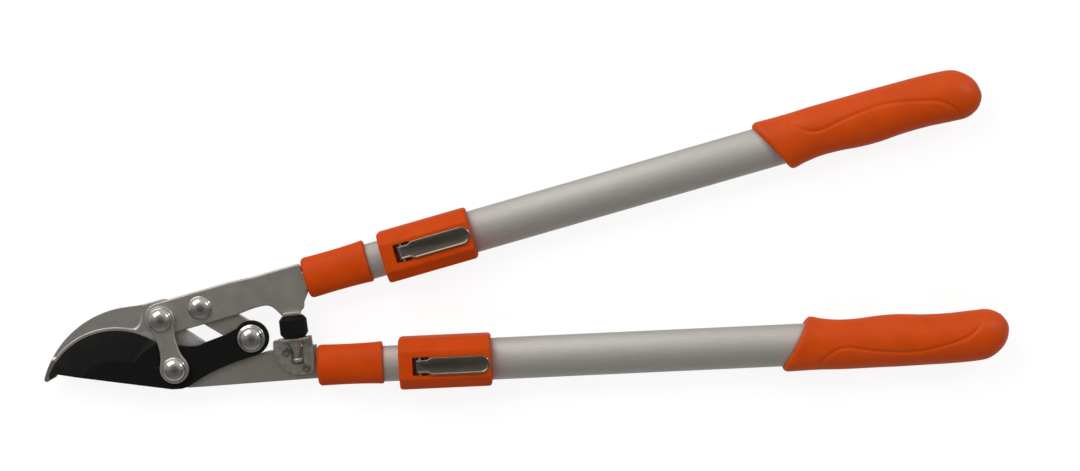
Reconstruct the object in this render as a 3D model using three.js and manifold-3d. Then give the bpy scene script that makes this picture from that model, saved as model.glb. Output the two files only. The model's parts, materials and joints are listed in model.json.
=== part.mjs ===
// Telescopic bypass loppers with a compound-action head, lying flat and closed.
// Millimetres. X runs along the lower handle from the blade to the grips, Y runs across the tool
// from the lower handle to the upper one, and Z is up through the stack of plates.
// Everything is first laid out in plan round the main blade pivot, then the whole tool is moved so
// that the origin is at the bottom centre of its bounding box.

import * as THREE from 'three';
import * as BufferGeometryUtils from 'three/addons/utils/BufferGeometryUtils.js';
import Module from 'manifold-3d';

const wasm = await Module();
wasm.setup();

// ---------------------------------------------------------------- driving dimensions

const contactGap = 0.3;          // air between pieces that rest on one another
const boreClearance = 0.25;      // radial air between a bolt and its hole

// Linkage, in plan. The four pivots are main (blade), lever, input (lever to link), output (link to blade).
const tieLength = 36.5;          // main pivot to lever pivot
const tieAngle = 102.5;          // degrees from X
const crankLength = 28.8;        // lever pivot to input pivot, along the upper lever
const rockerLength = 58.5;       // main pivot to output pivot
const rockerAngle = 19.1;
const closedAngle = 13.5;        // between the two handles when closed

// Plate stack
const backPlate = 5;             // hook plate and link bar
const middlePlate = 4;           // blade and upper lever plate
const frontPlate = 4;            // tie plate

// Jaw
const edgeRadius = 52.1;         // cutting edge of the blade, an arc
const edgeCentre = { x: -43.4, y: -23.5 };
const bevelWidth = 21;
const bevelLand = 0.6;           // thickness left at the cutting edge
const hookRadius = 70.3;         // outer edge of the hook, an arc
const hookCentre = { x: -27.3, y: -25.4 };
const bypass = 5;                // how far the blade passes over the hook's inner edge
const recessDepth = 1.4;
const recessLand = 1.8;          // strip left standing between recess and cutting edge

// Pivots
const boltRadius = 4;
const headRadius = 8.5;
const headHeight = 5;
const nutRadius = 7.5;           // over the corners
const nutHeight = 8;
const nutCollar = 2;             // round part of the nut that holds its nylon ring
const boltProud = 0.5;           // end of the bolt past the nut
const washerHeight = 1;
const washerRadius = 9;
const coverRadius = 10;          // bright washer under the output pivot's head
const linkFreedom = 2.1;         // extra radial room at the output pivot of the link bar
const hookBoss = 13.6;           // hook plate round the main pivot
const outputBoss = 12.5;         // blade round the output pivot
const tieEnds = { main: 10.3, lever: 9.8 };
const tieWaist = 15.4;
const linkWidth = 18.6;
const leverWidth = 23.8;

// Bumper
const bumperAt = { x: 86.2, y: 18.3, tilt: 4 };   // foot of the bumper on its seat, and its lean in degrees
const bumperRadius = 10;
const bumperHeight = 15.3;
const seatThickness = 2;
const seatDepth = 10.2;          // seat, forward from the bracket's back
const bracketThickness = 2.5;
const studRadius = 2.6;
const ferrule = { radius: 5.4, height: 6.6 };    // tapered ferrule under the seat
const studTip = { radius: 3.6, height: 3.2 };
const studLength = 15.6;         // from the seat's underside to the end of the stud
const studRoom = 0.2;            // air between the stud's tip and the hook plate's face

// Telescopic handles, all sections are ovals given as half height (Y) and half depth (Z)
const tubeWall = 1.6;
const outerTube = { y: 15, z: 10 };
const slideClearance = 0.6;
const innerTube = {
  y: outerTube.y - tubeWall - slideClearance,
  z: outerTube.z - tubeWall - slideClearance,
};
const slideTravel = 300;
const slideOverlap = 70;         // inner tube left inside the outer one at full extension
const tangRoom = 0.6;            // air between the tang's corners and the tube's bore
const tangLength = 47;
const tangRivetRadius = 2;
const tangRivetInset = 12;       // rivet to the tang's end
const collarLength = 46.5;
const collarWall = { y: 2.1, z: 2 };
const collarRise = 1;            // the collar sits a little high on the tube
const collarNose = 5;            // solid front of the collar round the plate's tang
const sleeveLength = 65.3;
const sleeveWall = { y: 3.2, front: 6, back: 5.2 };
const sleeveChamfer = 8;
const gripLength = 161;
const gripEndWall = 14;
const plugFlange = 5;
const plugSpigot = 18;

// Lock lever
const leverLength = 52;
const leverBody = 13;
const leverNeck = 9.6;
const leverPlate = 1.6;
const neckOverhang = 2.4;        // neck in front of the lock pin
const leverOffset = 1;           // set towards the outside of the tool
const lockPinRadius = 1.2;
const pinDepth = 2.2;            // lock pin below the sleeve's face
const camOffset = 0.4;
const padThickness = 1.4;
const padLength = 8;

// Along each handle, from the pivot that its plate turns on
const lowerHandle = { side: 1, axis: -4, collar: 101, sleeve: 159.2, end: 592.6 };
const upperHandle = { side: -1, axis: -2, collar: 106, sleeve: 163.4, end: 600.5 };

// ---------------------------------------------------------------- derived places

const degrees = THREE.MathUtils.degToRad;
const polar = (radius, angle) => ({
  x: radius * Math.cos(degrees(angle)),
  y: radius * Math.sin(degrees(angle)),
});

const mainPivot = { x: 0, y: 0 };
const leverPivot = polar(tieLength, tieAngle);
const outputPivot = polar(rockerLength, rockerAngle);
const inputPivot = {
  x: leverPivot.x + polar(crankLength, closedAngle).x,
  y: leverPivot.y + polar(crankLength, closedAngle).y,
};

const middleBottom = backPlate + contactGap;
const middleTop = middleBottom + middlePlate;
const frontBottom = middleTop + contactGap;
const frontTop = frontBottom + frontPlate;
const tubeLevel = middleTop / 2;
const bumperLevel = backPlate + studTip.radius + studRoom;

const innerBore = { y: innerTube.y - tubeWall, z: innerTube.z - tubeWall };
const outerBore = { y: outerTube.y - tubeWall, z: outerTube.z - tubeWall };
const tangHalf = innerBore.y * Math.sqrt(1 - (tubeLevel / innerBore.z) ** 2) - tangRoom;
const sleeveHalf = {
  y: outerTube.y + sleeveWall.y,
  front: outerTube.z + sleeveWall.front,
  back: outerTube.z + sleeveWall.back,
};

// ---------------------------------------------------------------- materials

const material = (color, roughness, metalness) =>
  new THREE.MeshStandardMaterial({ color, roughness, metalness });

const plateSteel = material('#8b867e', 0.4, 0.9);
const hookSteel = material('#8f8a83', 0.45, 0.9);
const coatedSteel = material('#1d1c1b', 0.45, 0.2);
const chrome = material('#d9d8d4', 0.12, 1);
const zincSteel = material('#9a958c', 0.4, 0.9);
const nickelSteel = material('#6f6a62', 0.2, 1);
const tubeAluminium = material('#bdbab2', 0.45, 0.9);
const orangePlastic = material('#d9500f', 0.5, 0);
const orangeGrip = material('#d24c0e', 0.6, 0);
const blackRubber = material('#191817', 0.8, 0);
const whiteNylon = material('#dcdad2', 0.5, 0);

// ---------------------------------------------------------------- outlines in plan

const point = (x, y) => new THREE.Vector2(x, y);

function arc(centre, radius, from, to, steps) {
  const points = [];
  for (let i = 0; i <= steps; i += 1) {
    const place = polar(radius, from + ((to - from) * i) / steps);
    points.push(point(centre.x + place.x, centre.y + place.y));
  }
  return points;
}

function curve(steps, ...places) {
  return new THREE.SplineCurve(places.map(([x, y]) => point(x, y))).getPoints(steps);
}

const lines = (...places) => places.map(([x, y]) => point(x, y));

const hole = (centre, radius, steps = 24) =>
  new THREE.Path(arc(centre, radius, 0, 360, steps).slice(0, -1));

// ---------------------------------------------------------------- solids

function extruded(points, bottom, height, holes = []) {
  const shape = new THREE.Shape(points);
  shape.holes.push(...holes);
  const geometry = new THREE.ExtrudeGeometry(shape, { depth: height, bevelEnabled: false });
  return geometry.translate(0, 0, bottom);
}

// A shape drawn in Y and Z, run along X.
function extrudedAlongX(points, start, length, holes = []) {
  const geometry = extruded(points, start, length, holes);
  const axes = new THREE.Matrix4().set(0, 0, 1, 0, 1, 0, 0, 0, 0, 1, 0, 0, 0, 0, 0, 1);
  return geometry.applyMatrix4(axes);
}

// Profile of [radius, height] pairs turned about Z.
function turned(profile, steps = 24) {
  return new THREE.LatheGeometry(lines(...profile), steps).rotateX(Math.PI / 2);
}

function toSolid(geometry) {
  const plain = geometry.clone();
  plain.deleteAttribute('normal');
  plain.deleteAttribute('uv');
  const merged = BufferGeometryUtils.mergeVertices(plain, 1e-4);
  return new wasm.Manifold(new wasm.Mesh({
    numProp: 3,
    vertProperties: new Float32Array(merged.attributes.position.array),
    triVerts: new Uint32Array(merged.index.array),
  }));
}

function toGeometry(solid) {
  const mesh = solid.getMesh();
  const geometry = new THREE.BufferGeometry();
  geometry.setAttribute('position', new THREE.BufferAttribute(mesh.vertProperties, 3));
  geometry.setIndex(new THREE.BufferAttribute(mesh.triVerts, 1));
  geometry.computeVertexNormals();
  return geometry;
}

const cut = (body, ...tools) =>
  toGeometry(tools.reduce((solid, tool) => solid.subtract(toSolid(tool)), toSolid(body)));

const joined = (...pieces) =>
  toGeometry(pieces.slice(1).reduce((solid, piece) => solid.add(toSolid(piece)), toSolid(pieces[0])));

function box(minX, maxX, minY, maxY, minZ, maxZ) {
  const geometry = new THREE.BoxGeometry(maxX - minX, maxY - minY, maxZ - minZ);
  return geometry.translate((minX + maxX) / 2, (minY + maxY) / 2, (minZ + maxZ) / 2);
}

function rodAlongY(x, z, radius, minY, maxY, steps = 16) {
  const geometry = new THREE.CylinderGeometry(radius, radius, maxY - minY, steps);
  return geometry.translate(x, (minY + maxY) / 2, z);
}

function rodAlongZ(centre, radius, minZ, maxZ, steps = 24) {
  const geometry = new THREE.CylinderGeometry(radius, radius, maxZ - minZ, steps);
  return geometry.rotateX(Math.PI / 2).translate(centre.x, centre.y, (minZ + maxZ) / 2);
}

function add(group, name, geometry, finish) {
  const mesh = new THREE.Mesh(geometry, finish);
  mesh.name = name;
  group.add(mesh);
  return mesh;
}

// ---------------------------------------------------------------- fasteners

// A domed bolt: head above `top`, shank down to the tail at `bottom`.
function domedBolt(top, bottom) {
  const head = [];
  const steps = 6;
  for (let i = 0; i <= steps; i += 1) {
    const angle = (90 * i) / steps;
    const across = headRadius * Math.cos(degrees(angle));
    head.push([i === steps ? 0 : across, top + 1 + (headHeight - 1) * Math.sin(degrees(angle))]);
  }
  return turned([[0, bottom], [boltRadius, bottom], [boltRadius, top], [headRadius, top], ...head]);
}

function ring(inner, outer, bottom, height) {
  return turned([
    [inner, bottom], [outer, bottom], [outer, bottom + height], [inner, bottom + height], [inner, bottom],
  ]);
}

// A hexagon lock nut with a round collar on its free side and a bore for the bolt's end.
function lockNut(top) {
  const centre = { x: 0, y: 0 };
  const corners = arc(centre, nutRadius, 0, 360, 6).slice(0, -1);
  const collarRadius = nutRadius * 0.8;
  const bore = boltRadius + boreClearance;
  const hexagon = extruded(corners, top - nutHeight + nutCollar, nutHeight - nutCollar, [hole(centre, bore)]);
  return joined(hexagon, ring(bore, collarRadius, top - nutHeight, nutCollar + 1));
}

const washerBottom = -contactGap - washerHeight;
const nutTop = washerBottom - contactGap;
const boltEnd = nutTop - nutHeight - boltProud;

function pivotSet(group, name, centre, headSeat, tailWasherRadius) {
  const set = new THREE.Group();
  set.position.set(centre.x, centre.y, 0);
  add(set, `${name}_bolt`, domedBolt(headSeat + contactGap, boltEnd), chrome);
  const washer = ring(boltRadius + boreClearance, tailWasherRadius, washerBottom, washerHeight);
  add(set, `${name}_washer`, washer, zincSteel);
  add(set, `${name}_nut`, lockNut(nutTop), zincSteel);
  group.add(set);
  return set;
}

// ---------------------------------------------------------------- hook side plates

function hookPlate() {
  const innerEdge = edgeRadius - bypass;
  const tang = lowerHandle.axis;
  const shoulder = lowerHandle.collar - contactGap;
  const tangEnd = shoulder + tangLength;
  const outline = [
    ...lines([tangEnd, tang - tangHalf], [tangEnd, tang + tangHalf]),
    ...lines([shoulder, tang + tangHalf], [shoulder, 11.7]),
    ...curve(14, [99, 11.6], [69.6, 9.1], [54.8, 6.1], [44, 7.2], [32, 11.6], [21.7, 17.1]),
    ...curve(10, [7.9, 27.3], [5.5, 33], [5, 40], [1.5, 46], [-4.6, 49], [-9.2, 48.8]),
    ...curve(5, [-15.4, 47.2], [-23.2, 45.6], [-30, 44.9]),
    ...arc(hookCentre, hookRadius, 98, 159.5, 16),
    ...curve(6, [-92.6, -2.2], [-91.6, -4.6], [-89.6, -4.9], [-87.2, -3.4]),
    ...arc(edgeCentre, innerEdge, 153, 50, 20),
    ...arc(mainPivot, hookBoss, 165, 262, 10),
    ...lines([7.7, -14.8], [20.5, -14.6], [63.1, -13.3], [shoulder, -12.2]),
    ...lines([shoulder, tang - tangHalf]),
  ];
  const bore = boltRadius + boreClearance;
  const rivet = hole({ x: tangEnd - tangRivetInset, y: tang }, tangRivetRadius + boreClearance, 16);
  const bracketHoles = bracketRivets.map((place) => hole(place, bracketRivetRadius + boreClearance, 12));
  const blank = extruded(outline, 0, backPlate, [
    hole(mainPivot, bore), hole(leverPivot, bore), rivet, ...bracketHoles,
  ]);
  return cut(blank, recess());
}

// The ground hollow in the hook's face, between its outer edge and the land beside the blade.
function recess() {
  const inner = edgeRadius + recessLand;
  const outline = [
    ...arc(edgeCentre, inner, 137, 76, 12),
    ...curve(6, [-26.2, 31], [-23.6, 35.5], [-22.8, 41], [-23.2, 50]),
    ...arc(hookCentre, hookRadius + 6, 95, 145, 10),
  ];
  return extruded(outline, backPlate - recessDepth, recessDepth + 1);
}

function tiePlate() {
  const half = tieWaist / 2;
  const shape = [
    ...arc({ x: 0, y: 0 }, tieEnds.main, 130, 410, 18),
    ...curve(6, [half + 0.35, tieLength * 0.33], [half, tieLength / 2], [half + 0.35, tieLength * 0.67]),
    ...arc({ x: 0, y: tieLength }, tieEnds.lever, -50, 230, 18),
    ...curve(6, [-half - 0.35, tieLength * 0.67], [-half, tieLength / 2], [-half - 0.35, tieLength * 0.33]),
  ];
  const bore = boltRadius + boreClearance;
  return extruded(shape, frontBottom, frontPlate, [
    hole({ x: 0, y: 0 }, bore), hole({ x: 0, y: tieLength }, bore),
  ]);
}

// ---------------------------------------------------------------- bumper and its bracket

const bracketRivetRadius = 1.6;
const bracketRivets = [{ x: 79.3, y: 7.8 }, { x: 93, y: -4.2 }];
const bracketTop = middleBottom + bracketThickness;
const seatHeight = (x) => bumperAt.y + (x - bumperAt.x) * Math.tan(degrees(bumperAt.tilt));

// A face plate on the hook plate with a seat folded forward under the bumper, and a window for the stud.
function bumperBracket() {
  const outline = [
    ...curve(10, [70.3, 15.6], [70.3, 9.6], [72.3, 1.5], [77.8, -4.9], [86, -8.6], [96, -8.4]),
    ...lines([98, -7.6], [99.4, 3], [97.8, seatHeight(97.8)], [75, seatHeight(75)], [73, 16.8]),
  ];
  const holes = bracketRivets.map((place) => hole(place, bracketRivetRadius + boreClearance, 12));
  const face = extruded(outline, middleBottom, bracketThickness, holes);
  const seat = box(-10, 10, -seatThickness, 0, 0, seatDepth);
  const stand = (geometry) => geometry.rotateZ(degrees(bumperAt.tilt)).translate(bumperAt.x, bumperAt.y, 0);
  stand(seat).translate(0, 0, middleBottom);
  const room = studRadius + boreClearance;
  const studHole = stand(new THREE.CylinderGeometry(room, room, 8, 16)).translate(0, 0, bumperLevel);
  const under = -seatThickness - contactGap;
  const wide = ferrule.radius + contactGap;
  const narrow = studTip.radius + contactGap;
  const window = stand(extruded(lines(
    [-wide, under + contactGap], [-narrow, under - ferrule.height], [-narrow, under - studLength - 1],
    [narrow, under - studLength - 1], [narrow, under - ferrule.height], [wide, under + contactGap],
  ), middleBottom - 1, bracketThickness + 2));
  return cut(joined(face, seat), studHole, window);
}

function bracketRivet() {
  const top = bracketTop + contactGap;
  const bottom = -contactGap;
  const head = bracketRivetRadius + 1.3;
  return turned([
    [0, bottom - 1], [head, bottom - 1], [head, bottom], [bracketRivetRadius, bottom],
    [bracketRivetRadius, top], [head, top], [head - 0.4, top + 0.9], [0, top + 1.1],
  ], 16);
}

// The bumper stands on the seat; its profile is turned about the seat's normal.
function bumperBody() {
  const radius = bumperRadius;
  const base = contactGap;
  const top = base + bumperHeight;
  const bore = studRadius + boreClearance;
  return turned([
    [0, top], [0, base + 8.3], [bore, base + 8.3], [bore, base], [6.6, base], [radius, base + 4],
    [radius - 0.4, top - 4.2], [7, top], [0, top],
  ]);
}

// Threaded stud with a tapered ferrule under the seat and a round tip.
function bumperStud() {
  const under = -seatThickness - contactGap;
  const end = under - studLength;
  return turned([
    [0, end], [studTip.radius - 1, end], [studTip.radius, end + 1], [studTip.radius, end + studTip.height],
    [studRadius, end + studTip.height], [studRadius, under - ferrule.height],
    [ferrule.radius, under], [studRadius, under], [studRadius, 8], [0, 8],
  ], 16);
}

function bumperSet(group) {
  add(group, 'bumper_bracket', bumperBracket(), zincSteel);
  bracketRivets.forEach((place, index) => {
    const rivet = add(group, `bracket_rivet_${index + 1}`, bracketRivet(), zincSteel);
    rivet.position.set(place.x, place.y, 0);
  });
  const stand = new THREE.Group();
  stand.position.set(bumperAt.x, bumperAt.y, bumperLevel);
  stand.rotation.set(-Math.PI / 2, 0, degrees(bumperAt.tilt), 'ZYX');
  add(stand, 'bumper', bumperBody(), blackRubber);
  add(stand, 'bumper_stud', bumperStud(), zincSteel);
  group.add(stand);
}

// ---------------------------------------------------------------- blade

function bladeOutline() {
  return [
    ...lines([-83, -0.5], [-88.4, -3.6]),
    ...arc(edgeCentre, edgeRadius, 152, 56, 24),
    ...curve(6, [-9.6, 18.2], [-3, 16.6], [4, 16.2], [12, 15.2]),
    ...lines([17.7, 15.7], [22.3, 17.5], [36.2, 22.1], [45.2, 26.4]),
    ...arc(outputPivot, outputBoss, 135, -80, 16),
    ...lines([51, 4.9], [40, 1.6], [28.4, -2.8], [18.4, -7.7]),
    ...curve(5, [10.5, -12.3], [4.6, -14.6], [-3, -14.9]),
  ];
}

function blade() {
  const blank = extruded(bladeOutline(), middleBottom, middlePlate, [
    hole(mainPivot, boltRadius + boreClearance),
    hole(outputPivot, boltRadius + boreClearance),
  ]);
  const foot = middleBottom + bevelLand;
  const head = middleTop + 1;
  const slope = bevelWidth / (middlePlate - bevelLand);
  const waste = new THREE.LatheGeometry(lines(
    [edgeRadius, foot], [edgeRadius + 20, foot], [edgeRadius + 20, head],
    [edgeRadius - slope * (head - foot), head], [edgeRadius, foot],
  ), 72).rotateX(Math.PI / 2);
  waste.translate(edgeCentre.x, edgeCentre.y, 0);
  const jawOnly = box(-110, -14, -40, 60, foot - 1, head + 1).rotateZ(degrees(-8));
  const bevel = toGeometry(toSolid(waste).intersect(toSolid(jawOnly)));
  return cut(blank, bevel);
}

// ---------------------------------------------------------------- upper lever and link

function upperLeverPlate() {
  const half = leverWidth / 2;
  const tabLeft = fromBumper(-lipHalf - 0.6, lipUnderside);
  const tabRight = fromBumper(lipHalf + 0.4, lipUnderside + 2.4);
  const tang = upperHandle.axis;
  const shoulder = upperHandle.collar - contactGap;
  const tangEnd = shoulder + tangLength;
  const outline = [
    ...arc({ x: 0, y: 0 }, half, 270, 90, 16),
    ...lines([54, half], [71, half - 1.1], [shoulder, half - 1.1]),
    ...lines([shoulder, tang + tangHalf], [tangEnd, tang + tangHalf]),
    ...lines([tangEnd, tang - tangHalf], [shoulder, tang - tangHalf], [shoulder, -10.3]),
    ...curve(8, [103.9, -12.8], [101.1, -16.4], [99.7, -20.2], tabRight),
    ...lines(tabLeft),
    ...curve(6, [80.2, -16.6], [77.6, -13.2], [73.6, -11.3], [65.2, -10.9]),
    ...lines([54, -half]),
  ];
  const plate = extruded(outline, middleBottom, middlePlate, [
    hole({ x: 0, y: 0 }, boltRadius + boreClearance),
    hole({ x: crankLength, y: 0 }, boltRadius + boreClearance),
    hole({ x: tangEnd - tangRivetInset, y: tang }, tangRivetRadius + boreClearance, 16),
  ]);
  return joined(plate, strikeLip());
}

const lipHalf = 6.4;
const lipThickness = 2.6;
const lipDepth = 8.5;
const lipUnderside = bumperHeight + 2 * contactGap;

// A matrix from the bumper's frame (its foot at the origin, standing along Y) to the upper lever's.
const bumperToLever = new THREE.Matrix4().makeRotationZ(degrees(-closedAngle))
  .multiply(new THREE.Matrix4().makeTranslation(bumperAt.x - leverPivot.x, bumperAt.y - leverPivot.y, 0))
  .multiply(new THREE.Matrix4().makeRotationZ(degrees(bumperAt.tilt)));

function fromBumper(x, y) {
  const place = new THREE.Vector3(x, y, 0).applyMatrix4(bumperToLever);
  return [place.x, place.y];
}

// The edge of the upper lever plate that is folded forward to strike the bumper.
function strikeLip() {
  const top = lipUnderside + lipThickness;
  const lip = box(-lipHalf, lipHalf, lipUnderside, top, middleBottom, middleBottom + lipDepth);
  return lip.applyMatrix4(bumperToLever);
}

function linkBar() {
  const half = linkWidth / 2;
  const length = Math.hypot(outputPivot.x - inputPivot.x, outputPivot.y - inputPivot.y);
  const outline = [
    ...arc({ x: 0, y: 0 }, half, 90, 270, 14),
    ...arc({ x: length, y: 0 }, half, -90, 90, 14),
  ];
  return extruded(outline, 0, backPlate, [
    hole({ x: 0, y: 0 }, boltRadius + boreClearance),
    hole({ x: length, y: 0 }, boltRadius + boreClearance + linkFreedom),
  ]);
}

// ---------------------------------------------------------------- telescopic handle

function oval(half, steps = 32) {
  const points = [];
  for (let i = 0; i < steps; i += 1) {
    const angle = (2 * Math.PI * i) / steps;
    points.push(point(half.y * Math.cos(angle), half.z * Math.sin(angle)));
  }
  return points;
}

const grown = (half, by) => ({ y: half.y + by, z: half.z + by });

const ovalTube = (outer, inner, start, length) =>
  extrudedAlongX(oval(outer), start, length, [new THREE.Path(oval(inner))]);

function collar(start, plateBottom, plateHeight) {
  const bore = grown(innerTube, contactGap);
  const outer = { y: bore.y + collarWall.y, z: bore.z + collarWall.z };
  const body = extrudedAlongX(oval(outer), start, collarLength).translate(0, collarRise, 0);
  const tubeRoom = extrudedAlongX(oval(bore), start + collarNose, collarLength);
  const slotHalf = tangHalf + contactGap;
  const slot = box(
    start - 1, start + collarNose + 1, -slotHalf, slotHalf,
    plateBottom - contactGap, plateBottom + plateHeight + contactGap,
  );
  return cut(body, tubeRoom, slot);
}

function innerTubeBody(start, end, rivetAt) {
  const tube = ovalTube(innerTube, innerBore, start, end - start);
  const rivetHole = rodAlongZ({ x: rivetAt, y: 0 }, tangRivetRadius + boreClearance, -20, 20, 16);
  return cut(tube, rivetHole);
}

function tangRivet() {
  const half = innerTube.z - 0.1;
  return turned([[0, -half], [tangRivetRadius, -half], [tangRivetRadius, half], [0, half]], 16);
}

// A plug pressed into the inner tube's far end, its flange running in the outer tube.
function glidePlug(end) {
  const flange = grown(innerTube, slideClearance - 0.2);
  const spigot = grown(innerBore, -contactGap);
  return joined(
    extrudedAlongX(oval(flange), end + contactGap, plugFlange),
    extrudedAlongX(oval(spigot), end - plugSpigot, plugSpigot + contactGap + 1),
  );
}

function sleeveSection(inset) {
  const { y, front, back } = sleeveHalf;
  const cornerZ = sleeveChamfer - 0.5;
  return lines(
    [y - inset, -back + cornerZ], [y - inset, front - cornerZ], [y - sleeveChamfer, front - inset],
    [-y + sleeveChamfer, front - inset], [-y + inset, front - cornerZ], [-y + inset, -back + cornerZ],
    [-y + sleeveChamfer, -back + inset], [y - sleeveChamfer, -back + inset],
  );
}

const pocketHalf = leverNeck / 2 + 1.7;
const pinFromSleeve = 15;        // sleeve's front end to the lock pin
const leverTop = pinDepth + contactGap + leverPlate;
const pocketFront = Math.hypot(neckOverhang, leverTop) + contactGap;
const pocketBack = 6.5;
const pinLevel = sleeveHalf.front - pinDepth;
const padBottom = innerTube.z + contactGap;
const camRadius = pinLevel - camOffset - padBottom - padThickness - contactGap;
const tubeStop = 27.5;           // sleeve's front end to the outer tube's end

function lockSleeve(start, offset) {
  const body = joined(
    extrudedAlongX(sleeveSection(1.4), start, sleeveLength),
    extrudedAlongX(sleeveSection(0), start + 1.5, sleeveLength - 3),
  );
  const slideBore = extrudedAlongX(oval(grown(innerTube, slideClearance)), start - 1, tubeStop + 2);
  const tubeSeat = start + tubeStop - contactGap;
  const tubeBore = extrudedAlongX(oval(grown(outerTube, contactGap)), tubeSeat, sleeveLength);
  const pin = start + pinFromSleeve;
  const pocket = box(
    pin - pocketFront, pin + pocketBack, offset - pocketHalf, offset + pocketHalf, 0, sleeveHalf.front + 1,
  );
  const pinReach = pocketHalf + 4;
  const pinHole = rodAlongY(pin, pinLevel, lockPinRadius + 0.15, offset - pinReach, offset + pinReach);
  return cut(body, slideBore, tubeBore, pocket, pinHole);
}

// Lever plate over the sleeve's face, with a web and an eccentric cam round the lock pin.
// Drawn with the pin at the origin.
function lockLever() {
  const neckEnd = 5.6;
  const tail = leverLength - neckOverhang;
  const half = leverBody / 2;
  const neck = leverNeck / 2;
  const outline = [
    ...lines([-neckOverhang, -neck], [neckEnd, -neck], [neckEnd + 2.5, -half]),
    ...arc({ x: tail - half, y: 0 }, half, -90, 90, 12),
    ...lines([neckEnd + 2.5, half], [neckEnd, neck], [-neckOverhang, neck]),
  ];
  const bottom = pinDepth + contactGap;
  const plate = extruded(outline, bottom, leverPlate);
  const cam = rodAlongY(0, -camOffset, camRadius, -neck, neck, 24);
  const bore = rodAlongY(0, 0, lockPinRadius + 0.2, -neck - 1, neck + 1);
  return cut(joined(plate, cam), bore);
}

function brakePad(pin, offset) {
  const half = leverNeck / 2 + 1;
  const ends = [pin - padLength / 2, pin + padLength / 2];
  return box(...ends, offset - half, offset + half, padBottom, padBottom + padThickness);
}

// Grip wall over the tube, at stations back from its rounded end:
// [distance, wall on the side towards the other handle, wall on the outer side, wall front and back]
const gripStations = [
  [gripLength, 5.4, 4, 3.6],
  [142, 5, 3.6, 3.8],
  [132, 3, 3.6, 4],
  [120, 1.6, 3.9, 4.3],
  [106, 1.9, 3.9, 4.6],
  [92, 3.2, 3.8, 4.9],
  [78, 3.6, 3.8, 5],
  [60, 2.6, 3.5, 5],
  [42, 2.7, 3.2, 5],
  [24, 4, 2.3, 4.9],
  [14, 4.2, 0.4, 4],
  [6, 0.9, -5.2, 0.8],
  [1.6, -4, -11.4, -4],
  [0, -7.8, -17.8, -7.8],
];
const gripSlant = { run: 13.5, rise: 29.2 };

function grip(end, side) {
  const steps = 28;
  const positions = [];
  gripStations.forEach(([back, innerWall, outerWall, depthWall]) => {
    const centre = (innerWall - outerWall) / 2;
    const half = outerTube.y + (innerWall + outerWall) / 2;
    const depth = outerTube.z + depthWall;
    for (let i = 0; i < steps; i += 1) {
      const angle = (2 * Math.PI * i) / steps;
      positions.push(end - back, side * (centre + half * Math.cos(angle)), depth * Math.sin(angle));
    }
  });
  const rings = gripStations.length;
  const faces = [];
  const quad = (a, b, c, d) => faces.push(a, b, c, a, c, d);
  for (let r = 0; r + 1 < rings; r += 1) {
    for (let i = 0; i < steps; i += 1) {
      const next = (i + 1) % steps;
      quad(r * steps + i, r * steps + next, (r + 1) * steps + next, (r + 1) * steps + i);
    }
  }
  for (let i = 1; i + 1 < steps; i += 1) {
    faces.push(0, i + 1, i);
    faces.push((rings - 1) * steps, (rings - 1) * steps + i, (rings - 1) * steps + i + 1);
  }
  if (side < 0) faces.reverse();
  const geometry = new THREE.BufferGeometry();
  geometry.setAttribute('position', new THREE.Float32BufferAttribute(positions, 3));
  geometry.setIndex(faces);
  const boreStart = end - gripLength - 5;
  const boreEnd = end - gripEndWall;
  const bore = extrudedAlongX(oval(grown(outerTube, contactGap)), boreStart, boreEnd - boreStart);
  const front = end - gripLength + 0.5;
  const lean = gripSlant.run / gripSlant.rise;
  const reach = 60;
  const low = -outerTube.y - 2;
  const mouthLine = lines(
    [front - 60, -reach], [front + (-reach - low) * lean, -reach],
    [front + (reach - low) * lean, reach], [front - 60, reach],
  );
  const mouth = extruded(mouthLine.map((place) => point(place.x, side * place.y)), -30, 60);
  return cut(geometry, bore, mouth);
}

function handle(name, spec, plateBottom, plateHeight, fixedGroup) {
  const { side, axis, collar: collarStart, sleeve: sleeveStart, end } = spec;
  const frame = new THREE.Group();
  frame.position.set(0, axis, tubeLevel);
  fixedGroup.add(frame);

  const tubeStart = collarStart + collarNose + contactGap;
  const outerStart = sleeveStart + tubeStop;
  const innerEnd = outerStart + slideTravel + slideOverlap;
  const rivetAt = collarStart - contactGap + tangLength - tangRivetInset;
  const outerEnd = end - gripEndWall - contactGap;
  const offset = -side * leverOffset;

  add(frame, `${name}_collar`, collar(collarStart, plateBottom - tubeLevel, plateHeight), orangePlastic);
  add(frame, `${name}_inner_tube`, innerTubeBody(tubeStart, innerEnd, rivetAt), tubeAluminium);
  add(frame, `${name}_tang_rivet`, tangRivet(), zincSteel).position.set(rivetAt, 0, 0);
  add(frame, `${name}_glide_plug`, glidePlug(innerEnd), whiteNylon);

  const outerBody = ovalTube(outerTube, outerBore, outerStart, outerEnd - outerStart);
  add(frame, `${name}_outer_tube`, outerBody, tubeAluminium);
  add(frame, `${name}_lock_sleeve`, lockSleeve(sleeveStart, offset), orangePlastic);
  add(frame, `${name}_grip`, grip(end, side), orangeGrip);

  const pin = sleeveStart + pinFromSleeve;
  const pinReach = pocketHalf + 3.6;
  const pinBody = rodAlongY(pin, pinLevel, lockPinRadius, offset - pinReach, offset + pinReach);
  add(frame, `${name}_lock_pin`, pinBody, nickelSteel);
  add(frame, `${name}_brake_pad`, brakePad(pin, offset), whiteNylon);
  add(frame, `${name}_lock_lever`, lockLever(), nickelSteel).position.set(pin, offset, pinLevel);
}

// ---------------------------------------------------------------- assembly

const loppers = new THREE.Group();

add(loppers, 'hook_plate', hookPlate(), hookSteel);
add(loppers, 'tie_plate', tiePlate(), plateSteel).rotation.z = degrees(tieAngle - 90);
pivotSet(loppers, 'main_pivot', mainPivot, frontTop, washerRadius);
pivotSet(loppers, 'lever_pivot', leverPivot, frontTop, washerRadius);
bumperSet(loppers);
handle('lower', lowerHandle, 0, backPlate, loppers);

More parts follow.
